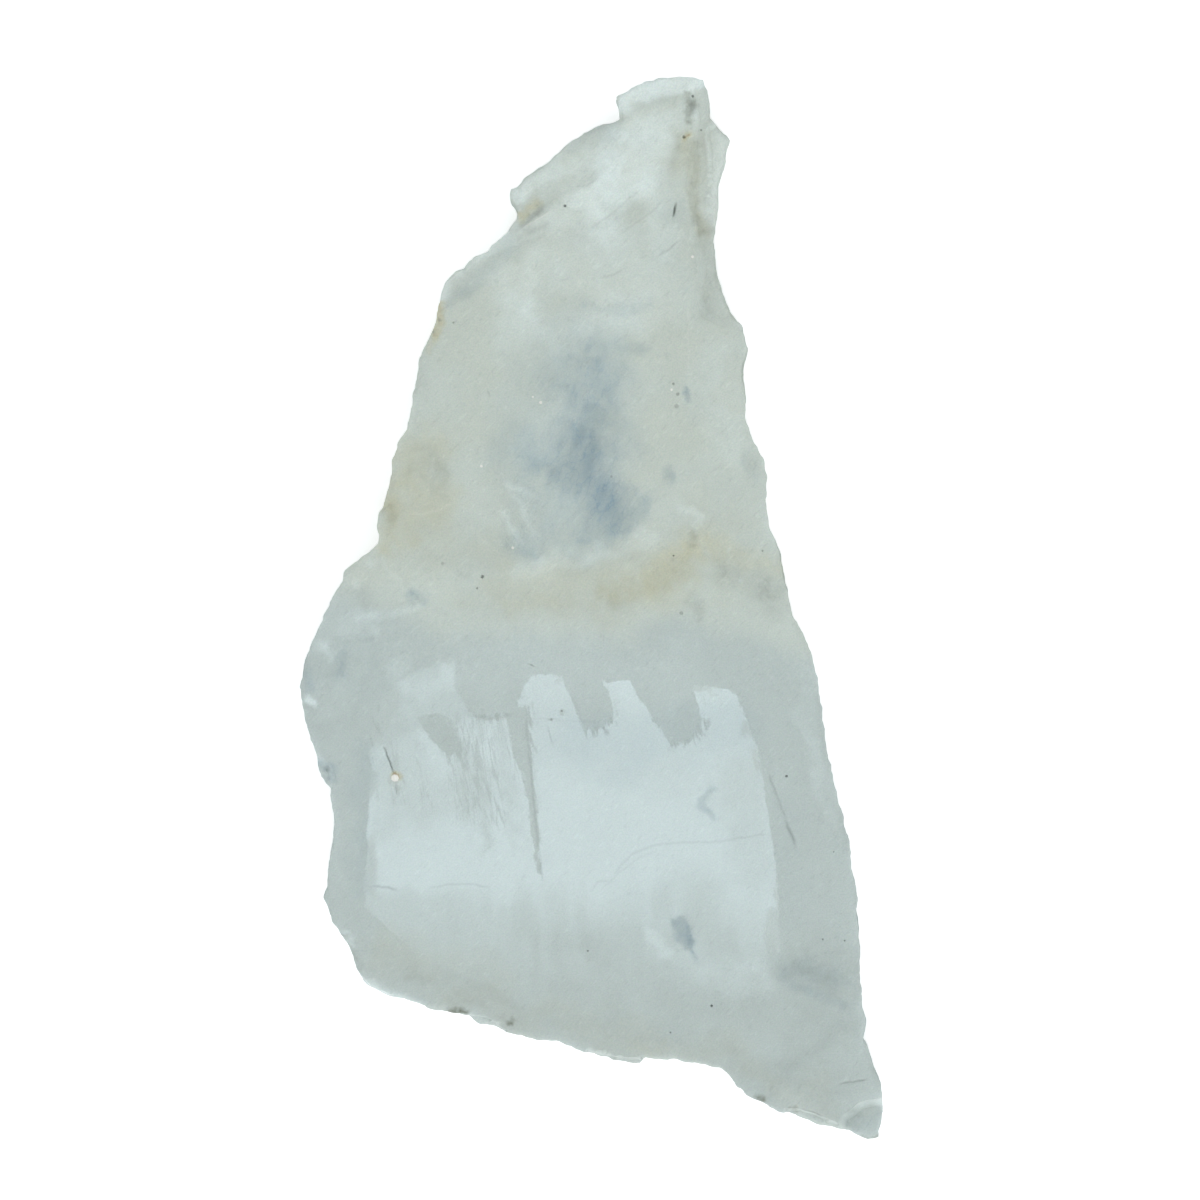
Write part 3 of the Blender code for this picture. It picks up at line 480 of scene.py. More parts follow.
DIRT_AND_SHADOW = {  # dark olive-grey dirt in cracks and hollows, and painted shadow where the slab's lip overhangs the floor
    "gully floor": (
        [(16.0, 77.9), (19.0, 78.8), (19.3, 72.9), (18.8, 67.9), (20.0, 62.9), (20.7, 57.9),
         (20.7, 51.3), (20.0, 47.1), (18.0, 47.6), (17.5, 54.6), (16.8, 61.3), (15.8, 64.6),
         (15.5, 71.3)],
        0.0, 0.8, 0.04),
    "south-west": (SOUTH_WEST, 3.0, 5.0, 0.05),
    "mustard": ([(4.0, 2.8), (9.7, 3.4), (15.0, 7.0)], 2.5, 4.0, 0.08),
    "foot corner": ([(-37.0, -58.0), (-26.0, -61.0)], 2.0, 3.0, 0.03),
    "foot margin": (FOOT_MARGIN, 3.0, 5.0, 0.08),
    "heel": ([(39.0, -60.0), (37.0, -70.0), (36.0, -76.0), (42.0, -80.0)], 4.5, 7.0, 0.09),
    "heel facet": ([(43.5, -85.0), (47.5, -84.6)], 1.6, 1.6, 0.1),
    "south-east smudge": ([(33.0, -60.0), (36.4, -60.4), (39.6, -63.0)], 2.0, 3.0, 0.1),
    "crescent": ([(-18.0, 2.0), (2.0, 1.0)], 3.5, 4.0, 0.05),
    "gully slot": (
        [(15.7, 86.1), (16.3, 86.2), (17.4, 83.9), (17.3, 82.6), (16.6, 81.8), (16.5, 80.0),
         (16.0, 80.4), (15.5, 82.0), (15.6, 83.8)],
        0.0, 0.4, 0.42),
    "gully": ([(17.0, 77.4), (17.1, 73.5), (16.6, 69.6), (17.0, 66.0), (18.2, 62.5)], 0.8, 0.8, 0.18),
    "gully side": (
        [(19.6, 81.2), (18.6, 79.4), (18.4, 77.0), (19.2, 75.4), (19.2, 67.0)], 0.4, 0.6, 0.12),
    "fingers": ([(-26.5, -19.5), (-23.2, -23.6)], 1.7, 0.6, 0.06),
    "gully branch": (GULLY_BRANCH, 0.9, 1.6, 0.16),
    "east strip": (
        [(16.6, 61.5), (21.3, 62.1), (21.8, 55.4), (20.5, 47.9), (17.8, 47.9), (17.2, 52.9)],
        0.0, 1.4, 0.08),
    "east spot": ([(19.5, 62.6)], 0.7, 1.2, 0.25),
    "shoulder": ([(-11.7, 63.4), (-10.0, 65.2), (-8.5, 66.6)], 0.5, 0.8, 0.25),
    "peak": ([(16.8, 12.0), (16.7, 10.2)], 0.5, 1.0, 0.3),
    "east patch": ([(21.0, 7.0), (30.0, 3.0)], 3.0, 4.5, 0.13),
    "east patch spot": ([(21.8, 6.3)], 0.9, 1.6, 0.15),
    "second east patch spot": ([(28.2, 6.0), (29.3, 2.0)], 0.8, 1.5, 0.18),
    "green spot": ([(16.6, 0.8), (18.0, -0.8)], 1.1, 1.6, 0.2),
    "west patch": ([(-28.0, 24.0), (-26.0, 21.0)], 2.4, 4.0, 0.16),
    "west foot": ([(-33.6, 16.4), (-33.5, 13.6)], 0.7, 1.2, 0.2),
    "bulge": ([(-45.5, -9.0), (-41.0, -10.0)], 3.0, 4.0, 0.06),
    "foot edge": (
        [(-41.0, -54.0), (-39.4, -57.0), (-36.0, -59.4), (-25.3, -60.4), (-15.3, -63.4), (-12.0, -66.3),
         (-25.3, -66.4), (-37.3, -62.4)], 0.0, 1.2, 0.07),
    "foot spots": ([(-31.0, -61.3), (-27.6, -62.4)], 0.7, 1.0, 0.1),
    "west facet": ([(-41.1, -54.6), (-38.7, -60.2)], 0.6, 0.7, 0.2),
    # painted shadow: the four contact marks below, under the lip where it overhangs the floor
    "foot contact": ([(-24.6, -67.2), (-21.0, -67.5)], 0.35, 0.4, 0.7),
    "second foot contact": ([(-14.3, -69.0), (-12.8, -68.9)], 0.3, 0.4, 0.6),
    "heel contact": ([(27.5, -81.7), (29.2, -82.1)], 0.3, 0.4, 0.6),
    "heel seam": ([(33.0, -83.2), (34.2, -83.8)], 0.3, 0.4, 0.5),
    "heel tip": ([(44.7, -88.3), (48.0, -88.5)], 0.3, 0.5, 0.35),
    "foot field": ([(-4.0, -60.0), (12.0, -62.0), (26.0, -68.0)], 4.0, 7.0, 0.07),
}
PAINTED_RIM_GLOW, PAINTED_RIM_GLOW_WIDTH = 0.14, 0.9  # painted light: the thin rim is made lighter, as light coming through a thin edge
PAINTED_RIM_GLOW_SHARE, PAINTED_RIM_GLOW_BREAKS = 0.55, (9.0, 740)  # in some stretches only
BRUISE = 0.2  # how frosted the terraces' steps are
STRAW_CLOUDS, STRAW_NOISE, STRAW_FROM = 0.06, (8.0, 770), 0.0  # faint, above this line
WALL_DIRT_AND_SHADOW = 0.25  # how much of the dirt and painted shadow holds on the upright walls
FLAT_GAIN = 1.6  # a slope of up to 51 degrees counts as flat
CLOUDS = (11.0, 750)
FIBRE_TURN = math.radians(-25)  # the crystal's fibres, from its length
FIBRES, FIBRE_STRETCH = (2.6, 760, 3, 0.7), 3.0
CLOUD_FIBRES, DEEP_FIBRES = 0.5, 0.35  # how much they show in the clouds and in the clear zone


# ---------------------------------------------------------------------------------------- fields


def noise(places, length, seed):
    """Smooth noise from about -1 to 1 that changes over this length."""
    turns = np.random.default_rng(seed).uniform(0.0, 2 * np.pi, (NOISE_CELLS, NOISE_CELLS))
    spots = places / length + NOISE_CELLS / 2
    cells = np.floor(spots).astype(int)
    parts = spots - cells
    eases = parts**3 * (parts * (parts * 6 - 15) + 10)
    total = np.zeros(len(places))
    for corner in ((0, 0), (1, 0), (0, 1), (1, 1)):
        turn = turns[(cells[:, 0] + corner[0]) % NOISE_CELLS, (cells[:, 1] + corner[1]) % NOISE_CELLS]
        gaps = parts - corner
        weights = np.where(corner, eases, 1 - eases).prod(axis=1)
        total += weights * (np.cos(turn) * gaps[:, 0] + np.sin(turn) * gaps[:, 1])
    return NOISE_GAIN * total


def fractal(places, length, seed, octaves=3, gain=0.5):
    """Noise with finer noise on it, each octave half as long and weaker by the gain."""
    return sum(noise(places, length / 2**i, seed + i) * gain**i for i in range(octaves))


def drawn_out(places, turn, stretch):
    """The places in axes turned by an angle, with lengths along the second one shrunk."""
    across = np.array([math.cos(turn), math.sin(turn)])
    along = np.array([-math.sin(turn), math.cos(turn)]) / stretch
    return np.column_stack([places @ across, places @ along])


def smooth(shares):
    """Rises smoothly from 0 to 1 as the shares do."""
    shares = np.clip(shares, 0.0, 1.0)
    return shares**2 * (3 - 2 * shares)


def distance_to(places, chain, closed=True):
    """Each place's distance to a chain of points: positive inside a closed one, negative outside."""
    chain = np.asarray(chain, float)
    ends = np.roll(chain, -1, axis=0) if closed or len(chain) == 1 else chain[1:]
    least = np.full(len(places), np.inf)
    odd = np.zeros(len(places), bool)
    for (ax, ay), (bx, by) in zip(chain, ends):
        wx, wy = bx - ax, by - ay
        gx, gy = places[:, 0] - ax, places[:, 1] - ay
        share = np.clip((gx * wx + gy * wy) / ((wx * wx + wy * wy) or 1.0), 0.0, 1.0)
        least = np.minimum(least, (gx - share * wx) ** 2 + (gy - share * wy) ** 2)
        if closed and wy:
            odd ^= ((gy < 0) != (gy < wy)) & (gx < gy / wy * wx)
    return np.sqrt(least) * (np.where(odd, 1.0, -1.0) if closed else 1.0)


def near_to(places, chain, reach):
    """Which places are within reach of a chain's box."""
    chain = np.asarray(chain, float)
    return ((places > chain.min(axis=0) - reach) & (places < chain.max(axis=0) + reach)).all(axis=1)


def marked(places, marks, first_seed):
    """How strongly marks of one kind show at each place, from 0 to 1. Their edges wander."""
    clean = np.ones(len(places))
    for number, (chain, half_width, softness, strength) in enumerate(marks.values()):
        near = near_to(places, chain, half_width + softness)
        spots = places[near]
        size = min(max(softness, LEAST_WANDER), MOST_WANDER)
        length = WANDER_LENGTH * size
        octaves = 1 + int(math.log2(length / FINEST_WANDER))
        seeds = [first_seed + MARK_SEEDS * number + axis * MARK_SEEDS // 2 for axis in (0, 1)]
        wander = [fractal(spots, length, seed, octaves, WANDER_GAIN) for seed in seeds]
        spots = spots + WANDER * size * np.column_stack(wander)
        if half_width:
            depth = half_width - distance_to(spots, chain, closed=False)
        else:
            depth = distance_to(spots, chain)
        clean[near] *= 1 - strength * smooth(0.5 + depth / softness)
    return 1 - clean


def line_depth(places, lines):
    """How deep the lines and specks are cut into the upper face, and their tone."""
    depth = np.zeros(len(places))
    tone = np.zeros(len(places))

    def cut_in(near, share, cut, shade):
        depth[near] += cut * share
        tone[near] = np.where(share > 0, shade * share, tone[near])

    for chain, half_width, cut, shade in lines:
        near = near_to(places, chain, half_width)
        spots = places[near]
        share = np.clip(1 - distance_to(spots, chain, closed=False) / half_width, 0.0, 1.0)
        ends = np.minimum(np.hypot(*(spots - chain[0]).T), np.hypot(*(spots - chain[-1]).T))
        share *= smooth(LINE_END + ends / (TAPER * half_width))
        cut_in(near, share, cut, shade)
    for place, radius, cut, shade in SPECKS:
        near = near_to(places, [place], radius)
        share = np.clip(2 - 2 * np.hypot(*(places[near] - place).T) / radius, 0.0, 1.0)
        cut_in(near, share, cut, shade)
    return depth, tone


# ---------------------------------------------------------------------------------------- shape


def resampled(chain, spacing, closed=True):
    """The chain with its points evenly spaced along it."""
    chain = np.asarray(chain, float)
    ring = np.vstack([chain, chain[:1]]) if closed else chain
    marks = np.concatenate([[0.0], np.cumsum(np.hypot(*np.diff(ring, axis=0).T))])
    count = max(2, round(marks[-1] / spacing))
    wanted = np.linspace(0.0, marks[-1], count, endpoint=not closed)
    return np.column_stack([np.interp(wanted, marks, ring[:, axis]) for axis in (0, 1)])


def unit_leftward(way):
    """The unit direction to the left of each step of a way."""
    way = np.column_stack([-way[:, 1], way[:, 0]])
    return way / np.hypot(*way.T)[:, None]


def left_of_ring(chain, reach):
    """The direction to the left at each point of a closed chain, judged from this many points away."""
    return unit_leftward(np.roll(chain, -reach, axis=0) - np.roll(chain, reach, axis=0))


def left_of_line(chain):
    """The direction to the left at each point of an open chain."""
    return unit_leftward(np.gradient(chain, axis=0))


def is_anticlockwise(chain):
    x, y = np.asarray(chain, float).T
    return (x * np.roll(y, -1) - np.roll(x, -1) * y).sum() > 0


def outline_of(node, height):
    """The node's cross-section at a height, as an anticlockwise chain of points."""
    mesh = bmesh.new()
    mesh.from_mesh(node.data)
    bmesh.ops.remove_doubles(mesh, verts=mesh.verts, dist=SAME_POINT * MM)
    bmesh.ops.bisect_plane(
        mesh, geom=[*mesh.verts, *mesh.edges, *mesh.faces], plane_co=(0, 0, height * MM),
        plane_no=(0, 0, 1), clear_inner=True, clear_outer=True,
    )
    mesh.verts.ensure_lookup_table()
    first = corner = mesh.verts[0]
    before, chain = None, []
    while not chain or corner != first:
        chain.append(corner.co.xy / MM)
        before = next(edge for edge in corner.link_edges if edge != before)
        corner = before.other_vert(corner)
    mesh.free()
    chain = np.array(chain)
    return chain if is_anticlockwise(chain) else chain[::-1]


def with_ragged_edges(terraces, first_seed):
    """Each terrace's fine area, drop and step, and the lines of its step's head and foot."""
    made = []
    for number, (area, drop, step, fray) in enumerate(terraces.values()):
        area = area if is_anticlockwise(area) else area[::-1]
        chain = resampled(area, LINE_SPACING)
        inward = left_of_ring(chain, STEP_REACH)
        ragged = fray * fractal(chain, STEP_FRAY_LENGTH, first_seed + SEED_STEP * number)
        chain = chain + inward * ragged[:, None]
        lines = [chain, chain + inward * step]
        made.append((chain, drop, step, lines))
    return made


def with_wander():
    """The lines in the upper face with their points close together and a little out of true."""
    made = []
    for number, (chain, half_width, cut, tone) in enumerate(LINES.values()):
        chain = resampled(chain, LINE_SPACING, closed=False)
        aside = LINE_WANDER * fractal(chain, LINE_WANDER_LENGTH, LINE_SEED + SEED_STEP * number)
        made.append((chain + left_of_line(chain) * aside[:, None], half_width, cut, tone))
    return made


def taken_off(places, terraces):
    """How far the terraces lower a face. Where two meet, the deeper one counts."""
    cut = np.zeros(len(places))
    for chain, drop, step, _ in terraces:
        near = near_to(places, chain, 0.0)
        if near.any():
            depth = drop * np.clip(distance_to(places[near], chain) / step, 0.0, 1.0)
            cut[near] = np.maximum(cut[near], depth)
    return cut


def upper_height(places, terraces, lines):
    """The upper face's height."""
    x, y = places.T
    thinning = TIP_THINNING * smooth((y - THINS_FROM) / (THINS_TO - THINS_FROM))
    reach = np.hypot((x - HOLLOW_CENTRE[0]) / HOLLOW_RADII[0], (y - HOLLOW_CENTRE[1]) / HOLLOW_RADII[1])
    hollow = HOLLOW_DEPTH * (1 - smooth(reach))
    swell = distance_to(places, SWELL_LINE, closed=False) / SWELL_HALF_WIDTH
    swell = SWELL_HEIGHT * (1 - smooth(swell))
    cut = taken_off(places, terraces)
    in_window = smooth(0.5 + distance_to(places, WINDOW) / WINDOW_MARGIN)
    lumps = LUMP_HEIGHT * fractal(places, *LUMPS) + SMALL_LUMP_HEIGHT * fractal(places, *SMALL_LUMPS)
    broken = smooth(cut / BROKEN_FROM) * BROKEN_HEIGHT * fractal(places, *BROKEN)
    depth, _ = line_depth(places, lines)
    return THICKNESS - thinning - hollow + swell - cut + (1 - in_window) * lumps + broken - depth


def lower_height(places, terraces):
    """The underside's height: flat on the ground but for its missing flakes."""
    return taken_off(places, terraces)


def sheet_levels():
    """For each ring of points between the broad faces: its level, its sheet and its setback."""
    levels = []
    for layer, (level, setback) in enumerate(SHEETS):
        last = layer == len(SHEETS) - 1
        top = THICKNESS if last else SHEETS[layer + 1][0] - SHEET_SHADOW
        levels += [(level, layer, setback), (top, layer, setback)]
    return levels


def edge_rings(rim, upper, lines, lower):
    """The rings of points up the slab's edge, from its underside to its upper face."""
    outward = -left_of_ring(rim, RIM_REACH)
    fray = FRAY_DEPTH * fractal(rim, *FRAY)
    rim = rim + outward * fray[:, None]

    def set_back(layer, setback, further):
        share = 0.5 + SETBACK_SWING * noise(rim, SETBACK_LENGTH, SETBACK_SEED + layer)
        share = np.clip(share, 0.0, 1.0)
        tooth = fractal(rim, SHEET_FRAY_LENGTH, SHEET_SEED + SEED_STEP * layer)
        tooth = SHEET_FRAY_DEPTH * tooth * bool(setback)
        back = np.maximum(0.0, further + share * setback + tooth)
        return rim - outward * back[:, None]

    levels = sheet_levels()
    last = len(SHEETS) - 1
    here = set_back(0, SHEETS[0][1], RIM_STEPS[-1][1])
    rings = [np.column_stack([here, lower_height(here, lower)])]
    for number, (level, layer, setback) in enumerate(levels):
        here = set_back(layer, setback, 0.0)
        low = lower_height(here, lower) + RIM_STEPS[0][0] + LEAST_RISE * number
        high = upper_height(here, upper, lines)
        high = high - RIM_STEPS[0][0] - LEAST_RISE * (len(levels) - number)
        rings.append(np.column_stack([here, np.minimum(np.maximum(level, low), high)]))
    for down, further in RIM_STEPS:
        here = set_back(last, SHEETS[-1][1], further)
        rings.append(np.column_stack([here, upper_height(here, upper, lines) - down]))
    return rings


def ring_faces(count, rings):
    """The triangles between each ring of points and the next one up."""
    faces = []
    for first in range(0, (rings - 1) * count, count):
        for i in range(count):
            a, b = first + i, first + (i + 1) % count
            faces += [(a, b, b + count), (a, b + count, a + count)]
    return faces


def followed(terraces, lines):
    """The lines that the upper face's triangles follow, and whether each is closed."""
    made = [(line, True) for terrace in terraces for line in terrace[3]]
    for chain, half_width, _, _ in lines:
        side = left_of_line(chain) * half_width
        made += [(chain, False), (chain + side, False), (chain - side, False)]
    turns = np.arange(SPECK_SIDES) * 2 * np.pi / SPECK_SIDES
    ring = np.column_stack([np.cos(turns), np.sin(turns)])
    for place, radius, _, _ in SPECKS:
        made += [(place + ring * radius, True), (place + ring * radius / 2, True)]
    return made


def lines_within(rim, lines):
    """The stretches of the lines that lie clear inside the rim."""
    kept = []
    for line, closed in lines:
        line = np.vstack([line, line[:1]]) if closed else line
        clear = distance_to(line, rim) > CLEAR_OF_RIM
        starts = np.flatnonzero(np.diff(np.concatenate([[0], clear.astype(int)])) == 1)
        stops = np.flatnonzero(np.diff(np.concatenate([clear.astype(int), [0]])) == -1)
        kept += [line[a:b + 1] for a, b in zip(starts, stops) if b > a]
    return kept


def face_places(rim, lines, spacing):
    """A staggered, uneven grid of points within the rim, clear of the lines."""
    low, high = rim.min(axis=0), rim.max(axis=0)
    row_height = spacing * math.sqrt(3) / 2
    rows, columns = np.mgrid[0:(high[1] - low[1]) / row_height, 0:(high[0] - low[0]) / spacing]
    grid = np.column_stack([
        low[0] + (columns + rows % 2 / 2).ravel() * spacing,
        low[1] + rows.ravel() * row_height,
    ])
    grid += np.random.default_rng(GRID_SEED).uniform(-GRID_JITTER, GRID_JITTER, grid.shape) * spacing
    grid = grid[distance_to(grid, rim) > max(CLEAR_OF_RIM, spacing / 2)]
    marks = np.vstack(lines)
    tree = kdtree.KDTree(len(marks))
    for number, mark in enumerate(marks):
        tree.insert((*mark, 0.0), number)
    tree.balance()
    return grid[[tree.find((*place, 0.0))[2] > CLEAR_OF_LINES for place in grid]]


def broad_face(rim, lines, spacing):
    """Triangles that fill the rim. Returns the added places and each triangle's corners.

    Corners count the rim's points first, then the added places.
    """
    lines = lines_within(rim, lines)
    places = [Vector(place) for place in rim]
    edges = []
    for line in lines:
        first = len(places)
        places += [Vector(place) for place in line]
        edges += [(first + i, first + i + 1) for i in range(len(line) - 1)]
    places += [Vector(place) for place in face_places(rim, lines, spacing)]
    found, _, triangles, sources, _, _ = delaunay_2d_cdt(
        places, edges, [list(range(len(rim)))], WITHIN_RIM, MERGED_WITHIN
    )
    number, added = [], []
    for place, source in zip(found, sources):
        on_rim = [mark for mark in source if mark < len(rim)]
        if on_rim:
            number.append(on_rim[0])
        else:
            number.append(len(rim) + len(added))
            added.append(place)
    return np.array(added), [[number[corner] for corner in triangle] for triangle in triangles]


def joined(triangles, count, first_rim, first_added):
    """The triangles of a broad face with their corners numbered as in the whole mesh."""
    return [
        tuple(first_rim + c if c < count else first_added + c - count for c in triangle)
        for triangle in triangles
    ]


def window_depth(places):
    """How far inside the window each place is."""
    wander = np.column_stack([fractal(places, *numbers) for numbers in WINDOW_WANDERS])
    spots = places + WINDOW_FRAY * wander
    depth = distance_to(spots, WINDOW)
    for area in BITES.values():
        depth = np.minimum(depth, -distance_to(spots, area))
    return np.clip(depth, -WINDOW_REACH, WINDOW_REACH)


def window_shine(places):
    """How brightly the window shines at each place."""
    shine = 1 - marked(places, DULL_PATCHES, DULL_SEED)
    x, y = places.T
    wisps = fractal(drawn_out(places, 0.0, WISP_STRETCH), *WISPS)
    for share, (line, length) in ((FIRST_FADE_SHARE, FIRST_FADE), (1 - FIRST_FADE_SHARE, LAST_FADE)):
        length = np.interp(x, FADE_ACROSS, length)
        line = np.interp(x, FADE_ACROSS, line) + WISP_REACH * length * wisps
        shine = shine - share * (1 - smooth(0.5 + (y - line) / length))
    return np.maximum(shine, 0.0)


def body_warmth(places):
    """1 in the warm upper body of the crystal and 0 in the cooler lower one."""
    x, y = places.T
    line = np.interp(x, *np.transpose(BODY_LINE)) + BODY_WANDER * fractal(places, *BODY_EDGE)
    return smooth(0.5 + (y - line) / BODY_TURN)


def band_between(heights, top, foot):
    """1 between two heights and 0 outside them, smooth over a millimetre."""
    return smooth(0.5 + top - heights) * smooth(0.5 + heights - foot)


def on_steps(places, terraces):
    """How nearly each place is halfway down a terrace's step, where the crystal is bruised."""
    bruised = np.zeros(len(places))
    for chain, drop, step, _ in terraces:
        near = near_to(places, chain, 0.0)
        share = np.clip(distance_to(places[near], chain) / step, 0.0, 1.0)
        steepness = min(1.0, drop / step)
        bruised[near] = np.maximum(bruised[near], 4 * steepness * share * (1 - share))
    return bruised


def flatness(mesh):
    """1 where the surface lies flat and 0 where it stands upright, at each point of the mesh."""
    normals = np.empty(3 * len(mesh.vertices))
    mesh.vertices.foreach_get("normal", normals)
    return smooth(FLAT_GAIN * np.abs(normals[2::3]))


def as_seen(corners):
    """Where each point is seen by the photograph's camera, in the plane it is focused on."""
    nearer = 1 - (corners[:, 2:] - FOCUS_HEIGHT) / PHOTO_DISTANCE
    return PHOTO_CENTRE + (corners[:, :2] - PHOTO_CENTRE) / nearer


def add_fields(mesh, corners, rim, upper, lines):
    """Stores the clouds, stains and shine at each point of the mesh, for its material."""
    places = corners[:, :2]
    on_top = corners[:, 2] > THICKNESS / 2
    spots = as_seen(corners)
    window = window_depth(spots)
    beside = window_depth(spots + np.array(TOOTH_SIDE))
    _, tone = line_depth(places, lines)
    # painted light: a lighter band along the rim, which goes into the frost
    glow = PAINTED_RIM_GLOW * smooth(1 - distance_to(places, rim) / PAINTED_RIM_GLOW_WIDTH)
    glow *= smooth(PAINTED_RIM_GLOW_SHARE + noise(places, *PAINTED_RIM_GLOW_BREAKS))
    frost = marked(spots, FROST, FROST_SEED)
    bruised = BRUISE * on_steps(places, upper) * on_top
    fibres = fractal(drawn_out(places, FIBRE_TURN, FIBRE_STRETCH), *FIBRES)
    straw = STRAW_CLOUDS * smooth(0.5 + fractal(places, *STRAW_NOISE)) * (places[:, 1] > STRAW_FROM)
    fields = {
        "warmth": body_warmth(spots),
        # deep holds the clear crystal and the painted shade on bevels
        "deep": np.clip(marked(spots, DEEP_AND_SHADED, DEEP_AND_SHADE_SEED) * (1 + DEEP_FIBRES * fibres), 0.0, 1.0),
        # frost also holds the painted light along the rim
        "frost": 1 - (1 - frost) * (1 - glow) * (1 - bruised),
        "stain": 1 - (1 - marked(spots, STAIN, STAIN_SEED)) * (1 - straw),
        "dirt_and_shadow": marked(spots, DIRT_AND_SHADOW, DIRT_AND_SHADOW_SEED) * (WALL_DIRT_AND_SHADOW + (1 - WALL_DIRT_AND_SHADOW) * flatness(mesh)),
        "window": np.where(on_top, window, NOT_WINDOW),
        "shine": window_shine(spots),
        "combed": smooth(0.5 + distance_to(spots, COMBED) / COMBED_SOFTNESS),
        "toothed": smooth((beside - window) / TOOTH_STEP) * band_between(spots[:, 1], *TOOTH_LINES),
        "tone": np.where(on_top, tone, 0.0),
        "cloud": fractal(places, *CLOUDS) + CLOUD_FIBRES * fibres,
    }
    for name, values in fields.items():
        mesh.attributes.new(name, "FLOAT", "POINT").data.foreach_set("value", values)


def fine_slab():
    """The whole slab as one closed mesh object."""
    rim = resampled(outline_of(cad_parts[NODE], OUTLINE_HEIGHT), RIM_SPACING)
    upper = with_ragged_edges(UPPER_TERRACES, UPPER_SEED)
    lines = with_wander()
    lower = with_ragged_edges(LOWER_TERRACES, LOWER_SEED)
    rings = edge_rings(rim, upper, lines, lower)
    upper_rim, lower_rim = rings[-1][:, :2], rings[0][:, :2]
    count = len(rim)
    faces = ring_faces(count, len(rings))
    corners = np.vstack(rings)

    places, triangles = broad_face(upper_rim, followed(upper, lines), UPPER_SPACING)
    faces += joined(triangles, count, (len(rings) - 1) * count, len(corners))
    corners = np.vstack([corners, np.column_stack([places, upper_height(places, upper, lines)])])

    lower_lines = [(line, True) for terrace in lower for line in terrace[3]]
    places, triangles = broad_face(lower_rim, lower_lines, LOWER_SPACING)
    faces += [face[::-1] for face in joined(triangles, count, 0, len(corners))]
    corners = np.vstack([corners, np.column_stack([places, lower_height(places, lower)])])

    mesh = bpy.data.meshes.new("selenite")
    mesh.from_pydata(corners * MM, [], faces)
    add_fields(mesh, corners, upper_rim, upper, lines)
    mesh.shade_smooth()
    mesh.set_sharp_from_angle(angle=SHARP_ANGLE)
    slab = bpy.data.objects.new("selenite", mesh)
    bpy.context.scene.collection.objects.link(slab)
    return slab


# ------------------------------------------------------------------------------------- material


def colour(red, green, blue):
    """A colour given as a screen shows it, each part from 0 to 255."""
    parts = (red / 255, green / 255, blue / 255)
    return (*(p / 12.92 if p <= 0.04045 else ((p + 0.055) / 1.055) ** 2.4 for p in parts), 1.0)


WARM_BODY = colour(210, 218, 211)
COOL_BODY = colour(199, 209, 206)
DEEP_AND_SHADE_COLOUR = colour(150, 175, 191)
FROST_COLOUR = colour(235, 247, 247)
STRAW = colour(199, 191, 148)
RUST = colour(158, 118, 58)
DIRT_AND_SHADOW_COLOUR = colour(95, 100, 78)
BLACK = colour(30, 34, 36)
WHITE = colour(255, 252, 246)
LIGHT_THROUGH = colour(215, 235, 228)  # the tint of light that has gone through the crystal
ABSORPTION = 12.0  # per metre
REFRACTION = 1.52
CLEARNESS, DEEP_CLEARNESS, FROST_CLOUDING = 0.45, 0.35, 0.3  # how much light goes through
SATIN, SATIN_MOTTLE, WINDOW_ROUGHNESS = 0.38, 0.16, 0.05  # the skin's, what mottle adds, the window's
# How much lighter and darker the crystal is made by its clouds, mottle, flecks and fine grain.
CLOUD, MOTTLE, FLECKS, GRAIN, GRAIN_TINT = 0.02, 0.08, 0.08, 0.18, 0.1
GRAIN_LENGTH, GRAIN_DEPTH, GRAIN_RELIEF = 0.26, 0.06, 0.35  # its relief is only this strong
MOTTLE_LENGTH, MOTTLE_ROUGHNESS = 1.4, 0.65
DEEP_AND_SHADE_MOTTLE, FROST_MOTTLE, STAIN_MOTTLE, DIRT_AND_SHADOW_MOTTLE = 0.5, 0.35, 0.4, 1.4  # how uneven they are
RUST_STAIN = (0.5, 1.0)  # between these strengths a stain turns from straw to rust
# Below, a noise's limits are the values between which a feature comes out of it.
FLECK_TURN, FLECK_STRETCH, FLECK_WIDTH = math.radians(-42), 4.0, 0.4
BRIGHT_FLECKS, DARK_FLECKS = (0.66, 0.82), (0.34, 0.18)
VEIN_LENGTH, VEIN_STRETCH, VEIN_ROUGHNESS, VEIN_LIMITS = 2.0, 1.6, 0.6, (0.0, 0.04)
BETWEEN_VEINS, VEIN_GAIN = 0.9, 0.45  # how strong the blue is between the veins, and more on them
WINDOW_PAINTED_REFLECTION = 0.08  # painted reflection: how much lighter the window's colour is made where it shines
TOOTH_TURN, TOOTH_STRETCH, TOOTH_WIDTH = math.radians(12), 5.0, 0.42
TOOTH_REACH, EDGE_REACH, GRAIN_REACH = 2.4, 0.8, 0.6  # how far each makes the window's edge ragged
EDGE_LIMITS = (-0.1, 0.1)
TOOTH_LIMITS = (0.48, 0.4)
TOOTH_DEPTH, TOOTH_SPAN = 0.3, (1.3, 0.5)  # how far inside the window they lie, and how far from there
HAIR_TURN, HAIR_STRETCH, HAIR_SPACING = math.radians(9), 9.0, 0.7
HAIR_LIMITS = (0.07, 0.02)
HAIR_BREAK_LENGTH, HAIR_BREAK_LIMITS = 2.6, (0.37, 0.54)
SCRATCH_DULLING = 0.65  # how much of the shine a hair or tooth takes
PAINTED_SCRATCH_SHADE = 0.06  # painted shade: how much darker the hairs in the window are made, where they break its reflection
TOOTH_SHADE = 1.6  # how dark the teeth are beside the hairs: painted shadow along the window's broken edge
